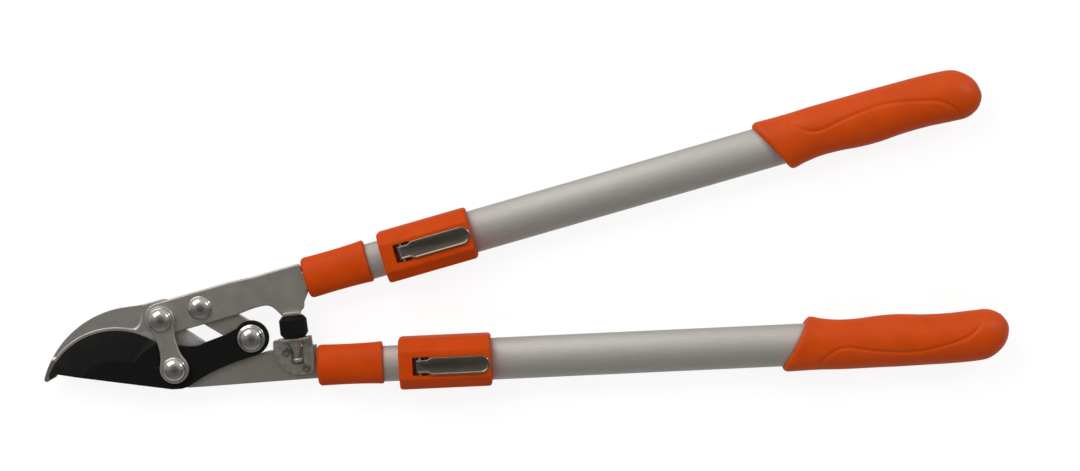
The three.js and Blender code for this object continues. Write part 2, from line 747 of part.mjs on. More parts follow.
add(loppers, 'blade', blade(), coatedSteel);
pivotSet(loppers, 'blade_link', outputPivot, middleTop + washerHeight + contactGap, washerRadius);
const coverWasher = ring(boltRadius + boreClearance, coverRadius, middleTop + contactGap, washerHeight);
add(loppers, 'blade_link_cover', coverWasher, chrome).position.set(outputPivot.x, outputPivot.y, 0);

const upperLever = new THREE.Group();
upperLever.position.set(leverPivot.x, leverPivot.y, 0);
upperLever.rotation.z = degrees(closedAngle);
loppers.add(upperLever);
add(upperLever, 'upper_lever_plate', upperLeverPlate(), plateSteel);
pivotSet(upperLever, 'lever_link', { x: crankLength, y: 0 }, middleTop, washerRadius);
handle('upper', upperHandle, middleBottom, middlePlate, upperLever);

const link = add(loppers, 'link_bar', linkBar(), plateSteel);
link.position.set(inputPivot.x, inputPivot.y, 0);
link.rotation.z = Math.atan2(outputPivot.y - inputPivot.y, outputPivot.x - inputPivot.x);

const bounds = new THREE.Box3().setFromObject(loppers, true);
const middle = bounds.getCenter(new THREE.Vector3());
const part = new THREE.Group();
loppers.position.set(-middle.x, -middle.y, -bounds.min.z);
part.add(loppers);

export default part;
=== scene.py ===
"""Looks of the telescopic bypass loppers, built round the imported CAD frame.

Every piece is drawn in millimetres, in the frame of the plate, pivot or handle that it belongs to.
Those frames, the levels of the plates and the ends of the tubes are all read from the CAD nodes.
Plan frames have X along the part and Z up, and keep the height of the row frame.
"""

import json
import math

import bmesh
import bpy
import numpy as np
from mathutils import Matrix, Vector, geometry


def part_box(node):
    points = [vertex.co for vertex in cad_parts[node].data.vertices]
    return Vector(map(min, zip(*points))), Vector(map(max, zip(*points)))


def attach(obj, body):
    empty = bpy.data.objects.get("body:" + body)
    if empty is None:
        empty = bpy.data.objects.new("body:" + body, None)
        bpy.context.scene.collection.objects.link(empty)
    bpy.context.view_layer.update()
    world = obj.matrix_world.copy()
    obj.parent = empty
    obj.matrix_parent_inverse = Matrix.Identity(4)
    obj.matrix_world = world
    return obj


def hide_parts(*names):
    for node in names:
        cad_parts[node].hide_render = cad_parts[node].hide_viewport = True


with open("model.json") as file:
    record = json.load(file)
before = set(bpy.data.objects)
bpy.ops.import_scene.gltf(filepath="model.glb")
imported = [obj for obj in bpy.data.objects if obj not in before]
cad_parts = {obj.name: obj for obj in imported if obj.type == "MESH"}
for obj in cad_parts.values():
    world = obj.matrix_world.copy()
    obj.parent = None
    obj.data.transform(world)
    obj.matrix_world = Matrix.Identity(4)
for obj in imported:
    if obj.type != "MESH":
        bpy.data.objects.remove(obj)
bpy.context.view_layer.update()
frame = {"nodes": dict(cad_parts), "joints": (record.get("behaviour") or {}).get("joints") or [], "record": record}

MM = 0.001
nodes = frame["nodes"]
bodies = frame["record"]["behaviour"]["bodies"]
body_of = {node: body for body, members in bodies.items() for node in members}
collection = bpy.context.scene.collection


# ---------------------------------------------------------------- places read from the frame


def centre(node):
    low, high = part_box(node)
    return (low + high) / 2


def joint_axis(name):
    return next(Vector(joint["axis"]) for joint in frame["joints"] if joint["name"] == name)


def levels(node):
    """Lowest and highest level of a node, in millimetres."""
    low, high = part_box(node)
    return low.z / MM, high.z / MM


def plan_frame(origin, direction):
    """A frame at the floor under `origin`, its X along `direction`."""
    turn = math.atan2(direction.y, direction.x)
    return Matrix.Translation((origin.x, origin.y, 0)) @ Matrix.Rotation(turn, 4, "Z")


def upright(node):
    """A frame at the floor under a node's centre, in line with the row frame."""
    return plan_frame(centre(node), Vector((1, 0, 0)))


def span(node, place):
    """Lowest and highest corner of a node in another frame, in millimetres."""
    inverse = place.inverted()
    points = [inverse @ vertex.co / MM for vertex in nodes[node].data.vertices]
    low = Vector(min(point[axis] for point in points) for axis in range(3))
    high = Vector(max(point[axis] for point in points) for axis in range(3))
    return low, high


def shifted(place, x, y, z):
    return place @ Matrix.Translation(Vector((x, y, z)) * MM)


MAIN = centre("main_pivot_bolt")
LEVER = centre("lever_pivot_bolt")
INPUT = centre("lever_link_bolt")
OUTPUT = centre("blade_link_bolt")

plan = plan_frame(MAIN, joint_axis("lower_telescope"))
lever_plan = plan_frame(LEVER, joint_axis("upper_telescope"))
tie_plan = plan_frame(MAIN, LEVER - MAIN)
link_plan = plan_frame(INPUT, OUTPUT - INPUT)


def handle_frame(side_plan, tube):
    """Frame on a tube's centre line, level with the pivot that its plate turns on."""
    middle = side_plan.inverted() @ centre(tube)
    return side_plan @ Matrix.Translation((0, middle.y, middle.z))


# "plate" is a plate at the tang's level, and "side" turns the grip's face towards the other handle.
HANDLES = {
    "lower": {"place": handle_frame(plan, "lower_outer_tube"), "plate": "hook_plate", "side": 1},
    "upper": {"place": handle_frame(lever_plan, "upper_outer_tube"), "plate": "blade", "side": -1},
}


# ---------------------------------------------------------------- outlines


def polar(radius, angle):
    return Vector((radius * math.cos(math.radians(angle)), radius * math.sin(math.radians(angle))))


def arc(middle, radius, start, end, spacing=1.0):
    steps = max(3, math.ceil(math.radians(abs(end - start)) * radius / spacing))
    return [Vector(middle) + polar(radius, start + (end - start) * i / steps) for i in range(steps + 1)]


def circle(middle, radius, steps=48):
    return [Vector(middle) + polar(radius, 360 * i / steps) for i in range(steps)]


def lines(*places):
    return [Vector(place) for place in places]


def between(a, b, c, d, t):
    """A place on the smooth line through four neighbours, `t` of the way from the second to the third."""
    return (2 * b + (c - a) * t + (2 * a - 5 * b + 4 * c - d) * t**2 + (3 * b - a - 3 * c + d) * t**3) / 2


def curve(*places, spacing=1.2):
    """A smooth line through the places."""
    points = lines(*places)
    padded = [2 * points[0] - points[1], *points, 2 * points[-1] - points[-2]]
    smooth = []
    for near in zip(padded, padded[1:], padded[2:], padded[3:]):
        steps = max(2, math.ceil((near[2] - near[1]).length / spacing))
        smooth += [between(*near, i / steps) for i in range(steps)]
    return [*smooth, points[-1]]


def spaced(loop, least=0.15):
    """A loop without its doubled points."""
    return [point for i, point in enumerate(loop) if (point - loop[i - 1]).length > least]


def filleted(loop, radius, steps=5, straight=14):
    """A closed loop whose corners are rounded; a turn under `straight` degrees stays as it is."""
    rounded = []
    for i, corner in enumerate(loop):
        to_back = loop[i - 1] - corner
        to_next = loop[(i + 1) % len(loop)] - corner
        half = to_back.angle(to_next) / 2
        if math.degrees(math.pi - 2 * half) < straight:
            rounded.append(corner)
            continue
        reach = min(radius / math.tan(half), 0.48 * to_back.length, 0.48 * to_next.length)
        bend = reach * math.tan(half)
        to_back.normalize()
        to_next.normalize()
        middle = corner + (to_back + to_next).normalized() * (bend / math.sin(half))
        first = (corner + to_back * reach - middle).normalized()
        last = (corner + to_next * reach - middle).normalized()
        rounded += [middle + first.slerp(last, k / steps) * bend for k in range(steps + 1)]
    return rounded


def oriented(loop, turn):
    """The loop running anticlockwise for turn 1 and clockwise for turn -1."""
    area = sum(loop[i - 1].x * loop[i].y - loop[i].x * loop[i - 1].y for i in range(len(loop)))
    return loop if area * turn > 0 else loop[::-1]


def inset(loop, distance):
    """The loop moved sideways, to its left."""
    moved = []
    for i, corner in enumerate(loop):
        back = (corner - loop[i - 1]).normalized()
        ahead = (loop[(i + 1) % len(loop)] - corner).normalized()
        left = Vector((-back.y - ahead.y, back.x + ahead.x))
        moved.append(corner + left * (2 * distance / max(left.length_squared, 1)))
    return moved


# ---------------------------------------------------------------- shapes, as (vertices, faces)


def band(here, there, count):
    """Faces between two rings of vertices, which start at `here` and at `there`."""
    return [(here + i, here + (i + 1) % count, there + (i + 1) % count, there + i) for i in range(count)]


def quarter(steps):
    """(1 - sine, 1 - cosine) of the angles of a rounded edge, from its flat side to its upright side."""
    angles = [math.pi / 2 * i / steps for i in range(steps + 1)]
    return [(1 - math.sin(angle), 1 - math.cos(angle)) for angle in angles]


def plate(outline, holes, bottom, top, rounding=0.45, steps=3):
    """A flat plate with rounded edges."""
    edge = [(rounding * across, rounding * along) for across, along in quarter(steps)]
    profile = [(across, bottom + along) for across, along in edge]
    profile += [(across, top - along) for across, along in reversed(edge)]
    loops = [oriented(spaced(outline), 1), *(oriented(hole, -1) for hole in holes)]
    return nested(loops, profile)


def nested(loops, profile):
    """Loops of a plan carried through a profile of (inset, height), closed flat at both ends."""
    vertices, faces, first, last = [], [], [], []
    for loop in loops:
        count = len(loop)
        start = len(vertices)
        for across, height in profile:
            vertices += [Vector((*point, height)) for point in inset(loop, across)]
        for k in range(len(profile) - 1):
            faces += band(start + k * count, start + (k + 1) * count, count)
        first.append(list(range(start, start + count)))
        last.append(list(range(start + (len(profile) - 1) * count, start + len(profile) * count)))
    for rings in (first, last):
        flat = [index for ring in rings for index in ring]
        triangles = geometry.tessellate_polygon([[vertices[index] for index in ring] for ring in rings])
        faces += [tuple(flat[corner] for corner in triangle) for triangle in triangles]
    return vertices, faces


def turned(profile, steps=72):
    """A profile of (radius, height) turned about Z; it starts and ends on the axis or closes on itself."""
    vertices, faces = [], []
    for radius, height in profile:
        vertices += [Vector((*polar(radius, 360 * i / steps), height)) for i in range(steps)]
    for k in range(len(profile) - 1):
        faces += band(k * steps, (k + 1) * steps, steps)
    return vertices, faces


def lofted(rings, closed=False):
    """Rings of equal length joined in turn; closed joins the last to the first, or both ends are capped."""
    count = len(rings[0])
    vertices = [Vector(point) for ring in rings for point in ring]
    faces = []
    for k in range(len(rings) if closed else len(rings) - 1):
        faces += band(k * count, (k + 1) % len(rings) * count, count)
    if not closed:
        faces.append(tuple(range(count)))
        faces.append(tuple(range((len(rings) - 1) * count, len(rings) * count)))
    return vertices, faces


def block(low, high, rounding=0.3):
    """A box with rounded corners in plan and rounded top and bottom edges."""
    corners = lines((low[0], low[1]), (high[0], low[1]), (high[0], high[1]), (low[0], high[1]))
    return plate(filleted(corners, rounding * 2, 4), [], low[2], high[2], rounding)


def drill(radius, reach, steps=24):
    """A round bar about Z, to cut a hole with."""
    return turned([(0, -reach), (radius, -reach), (radius, reach), (0, reach)], steps)


def placed(shape, matrix):
    vertices, faces = shape
    return [matrix @ vertex for vertex in vertices], faces


def together(*shapes):
    vertices, faces = [], []
    for more, sides in shapes:
        start = len(vertices)
        vertices += more
        faces += [tuple(start + corner for corner in side) for side in sides]
    return vertices, faces


STAND_UP = Matrix.Rotation(math.radians(-90), 4, "X")          # Z to Y


# ---------------------------------------------------------------- objects


SHARP = 32                        # degrees of turn from which an edge is crisp
MERGE = 0.004                     # millimetres within which two vertices are one
FLAT = 0.05                       # degrees of turn under which two faces are coplanar


def finish_mesh(solid, mesh, sharp):
    """Joins coplanar faces, smooths the rest up to `sharp` degrees of turn, and writes the mesh."""
    bmesh.ops.dissolve_limit(solid, angle_limit=math.radians(FLAT), verts=solid.verts, edges=solid.edges)
    for face in solid.faces:
        face.smooth = True
    for edge in solid.edges:
        edge.smooth = len(edge.link_faces) == 2 and edge.calc_face_angle(math.pi) < math.radians(sharp)
    solid.to_mesh(mesh)
    solid.free()


def object_from(name, shape, place, sharp=SHARP):
    """A mesh object in metres from a shape in millimetres."""
    vertices, faces = shape
    mesh = bpy.data.meshes.new(name)
    mesh.from_pydata([vertex * MM for vertex in vertices], [], faces)
    solid = bmesh.new()
    solid.from_mesh(mesh)
    bmesh.ops.remove_doubles(solid, verts=solid.verts, dist=MERGE * MM)
    bmesh.ops.dissolve_degenerate(solid, edges=solid.edges, dist=MERGE / 2 * MM)
    bmesh.ops.recalc_face_normals(solid, faces=solid.faces)
    finish_mesh(solid, mesh, sharp)
    piece = bpy.data.objects.new(name, mesh)
    collection.objects.link(piece)
    piece.matrix_world = place
    return piece


def carve(piece, tools, operation="DIFFERENCE", sharp=SHARP):
    """Cuts the tools' shapes out of a piece, or joins them to it, for good."""
    cutters = [object_from("cutter", tool, piece.matrix_world.copy()) for tool in tools]
    for cutter in cutters:
        modifier = piece.modifiers.new("carve", "BOOLEAN")
        modifier.object = cutter
        modifier.operation = operation
        modifier.solver = "EXACT"
    bpy.context.view_layer.update()
    evaluated = piece.evaluated_get(bpy.context.evaluated_depsgraph_get())
    mesh = bpy.data.meshes.new_from_object(evaluated)
    piece.modifiers.clear()
    piece.data = mesh
    solid = bmesh.new()
    solid.from_mesh(mesh)
    bmesh.ops.remove_doubles(solid, verts=solid.verts, dist=MERGE * MM)
    finish_mesh(solid, mesh, sharp)
    for cutter in cutters:
        bpy.data.objects.remove(cutter)
    return piece


def weighted(piece):
    """Keeps the large flat faces flat beside their rounded edges."""
    modifier = piece.modifiers.new("flats", "WEIGHTED_NORMAL")
    modifier.keep_sharp = True
    modifier.weight = 80
    return piece


def stands_for(piece, node, finish):
    """The piece takes a CAD node's place, on that node's body."""
    piece.data.materials.clear()
    piece.data.materials.append(finish)
    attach(piece, body_of[node])
    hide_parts(node)
    return piece


def whole(node, shape, place, finish, sharp=SHARP):
    """A piece that needs no cuts, in a CAD node's place."""
    return stands_for(object_from(f"{node}_body", shape, place, sharp), node, finish)


# ---------------------------------------------------------------- materials


def connect(tree, value, socket):
    """Links a node's output to a socket, or sets the socket to a plain value."""
    if isinstance(value, bpy.types.NodeSocket):
        tree.links.new(value, socket)
    else:
        socket.default_value = value


def add_node(tree, kind, **inputs):
    """A shader node with its inputs set or linked by name, an underscore standing for a space."""
    node = tree.nodes.new(f"ShaderNode{kind}")
    for name, value in inputs.items():
        connect(tree, value, node.inputs[name.replace("_", " ")])
    return node


def colour_ramp(tree, value, stops):
    """Maps a value through (position, colour) stops, a colour being a grey or three numbers."""
    node = add_node(tree, "ValToRGB", Fac=value)
    elements = node.color_ramp.elements
    for i, (position, colour) in enumerate(stops):
        element = elements[i] if i < 2 else elements.new(position)
        element.position = position
        colour = (colour,) * 3 if isinstance(colour, (int, float)) else colour
        element.color = (*colour, 1)
    return node.outputs["Color"]


def mixed(tree, factor, first, second):
    """The first colour where the factor is 0, the second where it is 1."""
    node = tree.nodes.new("ShaderNodeMix")
    node.data_type = "RGBA"
    for socket, value in zip((node.inputs["Factor"], *node.inputs[6:8]), (factor, first, second)):
        connect(tree, (*value, 1) if isinstance(value, tuple) else value, socket)
    return node.outputs[2]


class Finish:
    """A principled material whose colour, roughness and bump come from procedural nodes, in millimetres."""

    def __init__(self, name, metallic=0.0, stretch=(1, 1, 1), turn=0.0):
        self.material = bpy.data.materials.new(name)
        self.material.use_nodes = True
        self.tree = self.material.node_tree
        self.shader = self.tree.nodes["Principled BSDF"]
        self.shader.inputs["Metallic"].default_value = metallic
        self.coordinates = self.tree.nodes.new("ShaderNodeTexCoord").outputs["Object"]
        self.vector = self.mapped(stretch, turn)

    def mapped(self, stretch, turn=0.0, middle=(0, 0, 0)):
        mapping = add_node(
            self.tree, "Mapping", Vector=self.coordinates, Rotation=(0, 0, math.radians(turn)),
            Location=[place * MM for place in middle], Scale=[length * MM for length in stretch],
        )
        mapping.vector_type = "TEXTURE"
        return mapping.outputs["Vector"]

    def noise(self, scale, detail=3.0, roughness=0.5, vector=None):
        vector = vector or self.vector
        node = add_node(self.tree, "TexNoise", Vector=vector, Scale=scale, Detail=detail, Roughness=roughness)
        return node.outputs["Fac"]

    def ramp(self, value, *stops):
        return colour_ramp(self.tree, value, stops)

    def math(self, operation, *values):
        node = self.tree.nodes.new("ShaderNodeMath")
        node.operation = operation
        for socket, value in zip(node.inputs, values):
            connect(self.tree, value, socket)
        return node.outputs["Value"]

    def mix(self, factor, first, second):
        return mixed(self.tree, factor, first, second)

    def edges(self, low, high):
        """1 on worn convex edges, 0 on flats."""
        pointiness = self.tree.nodes.new("ShaderNodeNewGeometry").outputs["Pointiness"]
        return self.ramp(pointiness, (low, 0), (high, 1))

    def along_x(self, start, end):
        """0 before `start` and 1 after `end`, along X."""
        along = add_node(self.tree, "SeparateXYZ", Vector=self.coordinates).outputs["X"]
        node = add_node(self.tree, "MapRange", Value=along, From_Min=start * MM, From_Max=end * MM)
        return node.outputs["Result"]

    def patch(self, middle, reach, *stops):
        """An ellipsoid's stops, from 0 at its surface to 1 in its middle."""
        ball = add_node(self.tree, "TexGradient", Vector=self.mapped(reach, middle=middle))
        ball.gradient_type = "SPHERICAL"
        return self.ramp(ball.outputs["Fac"], *stops)

    def surface(self, colour, roughness, height, depth, specular=None):
        """The finished material, with bumps of a depth in millimetres."""
        bump = add_node(self.tree, "Bump", Height=height, Distance=depth * MM, Strength=1.0)
        connect(self.tree, colour, self.shader.inputs["Base Color"])
        connect(self.tree, roughness, self.shader.inputs["Roughness"])
        connect(self.tree, bump.outputs["Normal"], self.shader.inputs["Normal"])
        if specular is not None:
            self.shader.inputs["Specular IOR Level"].default_value = specular
        return self.material


def ground_steel():
    """Forged steel: upright streaks on the jaw, bright slanting ones behind it and a dull tip."""
    finish = Finish("ground_steel", metallic=1.0, stretch=(0.5, 7, 2), turn=4)
    top = levels("hook_plate")[1]
    upright_streaks = finish.ramp(finish.noise(1.0, 4, 0.6), (0.3, 0.25), (0.7, 0.75))
    plain = finish.noise(1.0, 4, 0.7, finish.mapped((0.9, 0.45, 1)))
    plain_streaks = finish.ramp(plain, (0.3, 0.2), (0.7, 0.6))
    slanting = finish.noise(1.0, 4, 0.65, finish.mapped((7, 0.45, 2), turn=-28))
    slanting_streaks = finish.ramp(slanting, (0.35, 0.1), (0.65, 1))
    streaks = finish.mix(finish.along_x(-20, -14), upright_streaks, plain_streaks)
    cloud = finish.ramp(finish.noise(0.12, 3, 0.5, finish.mapped((1, 1, 1))), (0.35, 0), (0.75, 0.35))
    shank = finish.ramp(finish.along_x(30, 50), (0.0, 0), (1.0, 0.8))
    tip = finish.patch((-92.5, -1.5, top), (13, 13, 30), (0.02, 0), (0.12, 0.85))
    worn = finish.ramp(streaks, (0.0, (0.54, 0.52, 0.47)), (1.0, (0.86, 0.835, 0.775)))
    worn = finish.mix(cloud, worn, (0.46, 0.435, 0.40))
    worn = finish.mix(shank, worn, (0.58, 0.54, 0.46))
    worn = finish.mix(tip, worn, (0.36, 0.32, 0.245))
    behind_jaw = finish.patch((-20, 24, top), (9, 3.5, 2), (0.0, 0), (0.4, 1))
    beside_pivot = finish.patch((15, 22, top), (10, 7, 2), (0.0, 0), (0.5, 1))
    ground_again = finish.math("MAXIMUM", behind_jaw, beside_pivot)
    polished = finish.ramp(slanting_streaks, (0.1, (0.66, 0.67, 0.69)), (0.9, (0.97, 0.98, 0.99)))
    roughness = finish.ramp(streaks, (0.0, 0.5), (1.0, 0.38))
    return finish.surface(finish.mix(ground_again, worn, polished), roughness, streaks, 0.012)


def satin_steel():
    """Tumbled, nickel-plated plate: a fine grain, faint clouds and a few darker specks."""
    finish = Finish("satin_steel", metallic=1.0)
    grain = finish.noise(2.6, 4, 0.7)
    clouds = finish.ramp(finish.noise(0.09, 4, 0.55), (0.3, (0.56, 0.525, 0.47)), (0.7, (0.69, 0.655, 0.595)))
    specks = finish.ramp(finish.noise(0.9, 2, 0.4), (0.66, 0), (0.74, 0.45))
    colour = finish.mix(specks, clouds, (0.30, 0.27, 0.235))
    return finish.surface(colour, finish.ramp(grain, (0.3, 0.40), (0.7, 0.52)), grain, 0.02)


def coated_steel():
    """Black low-friction coating, slightly mottled and rubbed along its edges."""
    finish = Finish("coated_steel")
    mottle = finish.noise(0.35, 5, 0.6)
    base = finish.ramp(mottle, (0.3, (0.0042, 0.0041, 0.0040)), (0.75, (0.0085, 0.0082, 0.0079)))
    colour = finish.mix(finish.edges(0.53, 0.6), base, (0.030, 0.029, 0.027))
    roughness = finish.ramp(finish.noise(1.8, 4, 0.6), (0.3, 0.4), (0.7, 0.5))
    return finish.surface(colour, roughness, finish.noise(3.2, 3, 0.6), 0.012, specular=0.17)


def chrome():
    """Polished heads with a faint haze."""
    finish = Finish("chrome", metallic=1.0)
    haze = finish.noise(0.5, 4, 0.6)
    colour = finish.ramp(haze, (0.3, (0.74, 0.725, 0.70)), (0.75, (0.62, 0.60, 0.565)))
    roughness = finish.ramp(haze, (0.3, 0.06), (0.75, 0.13))
    return finish.surface(colour, roughness, finish.noise(2.2, 2, 0.5), 0.004)


def zinc(name, light, dark):
    """Dull zinc plating, cloudy and a little pitted."""
    finish = Finish(name, metallic=0.85)
    colour = finish.ramp(finish.noise(0.28, 5, 0.65), (0.32, dark), (0.68, light))
    roughness = finish.ramp(finish.noise(1.3, 3, 0.6), (0.3, 0.3), (0.7, 0.5))
    return finish.surface(colour, roughness, finish.noise(0.9, 4, 0.65), 0.035)


def dark_nickel():
    """Dark plated sheet with lengthwise polishing lines."""
    finish = Finish("dark_nickel", metallic=1.0, stretch=(9, 0.5, 1))
    lengthwise = finish.noise(1.0, 3, 0.6)
    colour = finish.ramp(lengthwise, (0.3, (0.30, 0.255, 0.205)), (0.7, (0.39, 0.34, 0.28)))
    roughness = finish.ramp(lengthwise, (0.3, 0.17), (0.7, 0.25))
    return finish.surface(colour, roughness, finish.noise(0.3, 2, 0.5), 0.01)


def satin_tube(name, light, dark):
    """Anodised aluminium: grain drawn out along the tube."""
    finish = Finish(name, metallic=0.9, stretch=(14, 0.8, 0.8))
    fine = finish.noise(2.4, 3, 0.6, finish.mapped((1, 1, 1)))
    colour = finish.ramp(finish.noise(1.0, 4, 0.65), (0.3, dark), (0.7, light))
    return finish.surface(colour, finish.ramp(fine, (0.3, 0.6), (0.7, 0.7)), fine, 0.012)


def moulded(name, colour, shade, rough, texture, depth, specular=0.12):
    """Moulded plastic or rubber: slightly uneven in colour, with a fine eroded surface."""
    finish = Finish(name)
    cloudy = finish.ramp(finish.noise(0.045, 4, 0.55), (0.3, shade), (0.7, colour))
    skin = finish.noise(texture, 3, 0.6)
    roughness = finish.ramp(skin, (0.3, rough - 0.06), (0.7, rough + 0.06))
    return finish.surface(cloudy, roughness, skin, depth, specular)


HOOK_STEEL = ground_steel()
PLATE_STEEL = satin_steel()
COATED_STEEL = coated_steel()
CHROME = chrome()
ZINC = zinc("zinc", (0.60, 0.575, 0.525), (0.35, 0.335, 0.29))
RIVET_STEEL = zinc("rivet_steel", (0.30, 0.25, 0.20), (0.17, 0.14, 0.11))
DARK_NICKEL = dark_nickel()
OUTER_ALUMINIUM = satin_tube("outer_aluminium", (0.73, 0.715, 0.68), (0.655, 0.64, 0.60))
INNER_ALUMINIUM = satin_tube("inner_aluminium", (0.75, 0.695, 0.655), (0.63, 0.58, 0.54))
ORANGE_PLASTIC = moulded("orange_plastic", (0.66, 0.072, 0.003), (0.58, 0.058, 0.0025), 0.46, 1.6, 0.012)
ORANGE_GRIP = moulded("orange_grip", (0.70, 0.080, 0.003), (0.62, 0.064, 0.0025), 0.42, 2.2, 0.02, 0.22)
BLACK_RUBBER = moulded(
    "black_rubber", (0.0065, 0.0062, 0.006), (0.0035, 0.0034, 0.0033), 0.55, 1.2, 0.04, specular=0.15,
)
WHITE_NYLON = moulded("white_nylon", (0.72, 0.70, 0.64), (0.66, 0.64, 0.58), 0.5, 1.5, 0.015)


# ---------------------------------------------------------------- plates of the head

GAP = 0.3                         # between pieces that touch on the real tool
BOLT_HOLE = 4.25
LINK_FREEDOM = 2.1                # extra radius of the link's eye at the opened pivot
TANG_HALF = 6.8
EDGE_CENTRE = (-43.4, -23.5)      # of the blade's cutting edge, in plan
EDGE_RADIUS = 52.1
HOOK_CENTRE = (-27.3, -25.4)      # of the hook's back
HOOK_RADIUS = 70.3
BYPASS = 5.0
RECESS_DEPTH = 1.4
RECESS_INNER = EDGE_RADIUS + 1.8
RECESS_END = 140.3                # degrees round the edge's centre
RECESS_BACK = curve((-27.2, 29.4), (-24.4, 32.2), (-22.9, 37), (-22.6, 42), (-23.2, 50))
HOOK_ROUND = (98, 161.5)          # degrees round the hook's centre
RECESS_WALL = ((0.45, 0), (0.22, 0.05), (0.06, 0.2), (-0.08, 1.0), (-0.25, 1.4), (-0.4, 2.4))
RECESS_SLOPE = ((1.2, 0.01), (0.4, 0.1), (-0.4, 0.45), (-1.0, 0.95), (-1.5, 1.5), (-1.6, 1.9))
BEVEL_WIDTH = 21.0
BEVEL_LAND = 0.6
BEVEL_ROUND = (180, 44)           # degrees round the edge's centre
RUN_OUT = 58.0                    # where the bevel begins to run out, in the same degrees
RUN_OUT_LENGTH = 6.0


def in_plan(point, place=plan):
    """A place of the row frame in a plan frame, in millimetres."""
    local = place.inverted() @ Vector((point.x, point.y, 0))
    return Vector((local.x, local.y)) / MM


def tang_outline(node, handle, side_plan):
    """Centre line, shoulder and end of a plate's tang inside its collar."""
    axis = (side_plan.inverted() @ HANDLES[handle]["place"].translation).y / MM
    collar_low, _ = span(f"{handle}_collar", side_plan)
    _, plate_high = span(node, side_plan)
    return axis, collar_low.x - GAP, plate_high.x


def hook_outline():
    axis, shoulder, tang_end = tang_outline("hook_plate", "lower", plan)
    return [
        *lines((tang_end, axis - TANG_HALF), (tang_end, axis + TANG_HALF)),
        *lines((shoulder, axis + TANG_HALF), (shoulder, 11.7)),
        *curve((99, 11.6), (69.6, 9.1), (54.8, 6.1), (44, 7.2), (32, 11.6), (21.7, 17.1)),
        *curve((7.9, 27.3), (5.5, 33), (5, 40), (1.5, 46), (-4.6, 49), (-9.2, 48.8)),
        *curve((-15.4, 47.2), (-23.2, 45.6), (-30, 44.9)),
        *arc(HOOK_CENTRE, HOOK_RADIUS, *HOOK_ROUND),
        *curve((-94.3, -4.4), (-93.9, -5.5), (-92.8, -6.1), (-91.5, -5.9), (-89.3, -4.6), spacing=0.4),
        *arc(EDGE_CENTRE, EDGE_RADIUS - BYPASS, 154, 50),
        *arc((0, 0), 13.6, 165, 262),
        *lines((7.7, -14.8), (20.5, -14.6), (63.1, -13.3), (shoulder, -12.2), (shoulder, axis - TANG_HALF)),
    ]


def recess_cut(loop, wall, top):
    """A loop cut down to the hollow's floor; the wall gives (inset, height over the floor)."""
    profile = [(across, top - RECESS_DEPTH + height) for across, height in wall]
    return nested([oriented(spaced(loop), 1)], profile)


def recess_tool(top):
    """The hollow ground into the jaw, with steep walls."""
    loop = [
        *arc(EDGE_CENTRE, RECESS_INNER, RECESS_END, 76),
        *RECESS_BACK,
        *arc(HOOK_CENTRE, HOOK_RADIUS + 5, 94, 149.5, 3),
    ]
    return recess_cut(loop, RECESS_WALL, top)


def recess_back_slope(top):
    """A concave slope along the hollow's end behind the jaw."""
    return recess_cut([*RECESS_BACK, *lines((-31, 50), (-31, 32))], RECESS_SLOPE, top)


def recess_tip_slope(top):
    """The slope that brings the hollow up to full thickness near the jaw's tip."""
    steps, turn = 8, 3.3
    rings = []
    for i in range(steps + 1):
        rise = (RECESS_DEPTH + 0.05) * (max(i - 1, 0) / (steps - 1)) ** 1.3
        inner = Vector(EDGE_CENTRE) + polar(RECESS_INNER, RECESS_END - 1 + turn * i / steps)
        outer = inner + Vector((-24, 0.5))
        level = top - RECESS_DEPTH + 0.01 + rise
        rings.append([(*inner, level), (*outer, level), (*outer, top + 2), (*inner, top + 2)])
    return lofted(rings)


def hook_plate():
    bottom, top = levels("hook_plate")
    holes = [circle((0, 0), BOLT_HOLE), circle(in_plan(LEVER), BOLT_HOLE)]
    piece = object_from("hook_plate_body", plate(hook_outline(), holes, bottom, top), plan)
    carve(piece, [recess_tool(top), recess_tip_slope(top), recess_back_slope(top)])
    stands_for(weighted(piece), "hook_plate", HOOK_STEEL)


def blade_outline():
    return [
        *lines((-84.6, -0.8), (-90.2, -4.5)),
        *arc(EDGE_CENTRE, EDGE_RADIUS, 154.5, 56),
        *curve((-9.6, 18.2), (-3, 16.6), (4, 16.2), (12, 15.2), (17.7, 15.7), (22.3, 17.5), (36.2, 22.1)),
        *curve((45.2, 26.4), (45.9, 27.3), spacing=0.5),
        *arc(in_plan(OUTPUT), 12.5, 129, -76),
        *curve((51, 4.9), (40, 1.6), (28.4, -2.8), (18.4, -7.7), (10.5, -12.3), (4.6, -14.6), (-3, -14.9)),
    ]


def grind_tool(bottom, top):
    """Waste over the conical bevel behind the cutting edge, which runs out in a short slope by the pivot."""
    foot = bottom + BEVEL_LAND
    slope = (top - foot) / BEVEL_WIDTH
    ceiling = top + 4
    beyond, within = 8, BEVEL_WIDTH + 6
    steps, trail = 150, 11
    start, end = BEVEL_ROUND
    rings = []
    for i in range(steps + 1):
        angle = start + (end - start) * i / steps
        lift = (top - foot + BEVEL_LAND) * min(max(RUN_OUT - angle, 0) / RUN_OUT_LENGTH, 1.4)
        outer = Vector(EDGE_CENTRE) + polar(EDGE_RADIUS + beyond, angle)
        inner = Vector(EDGE_CENTRE) + polar(EDGE_RADIUS - within, angle + trail)
        low_side = min(foot - beyond * slope + lift, top + 3)
        high_side = min(foot + within * slope + lift, top + 3.5)
        rings.append([(*outer, low_side), (*outer, ceiling), (*inner, ceiling), (*inner, high_side)])
    return lofted(rings)


def blade():
    bottom, top = levels("blade")
    holes = [circle((0, 0), BOLT_HOLE), circle(in_plan(OUTPUT), BOLT_HOLE)]
    piece = object_from("blade_body", plate(blade_outline(), holes, bottom, top, 0.3), plan)
    carve(piece, [grind_tool(bottom, top)], sharp=7)
    stands_for(weighted(piece), "blade", COATED_STEEL)


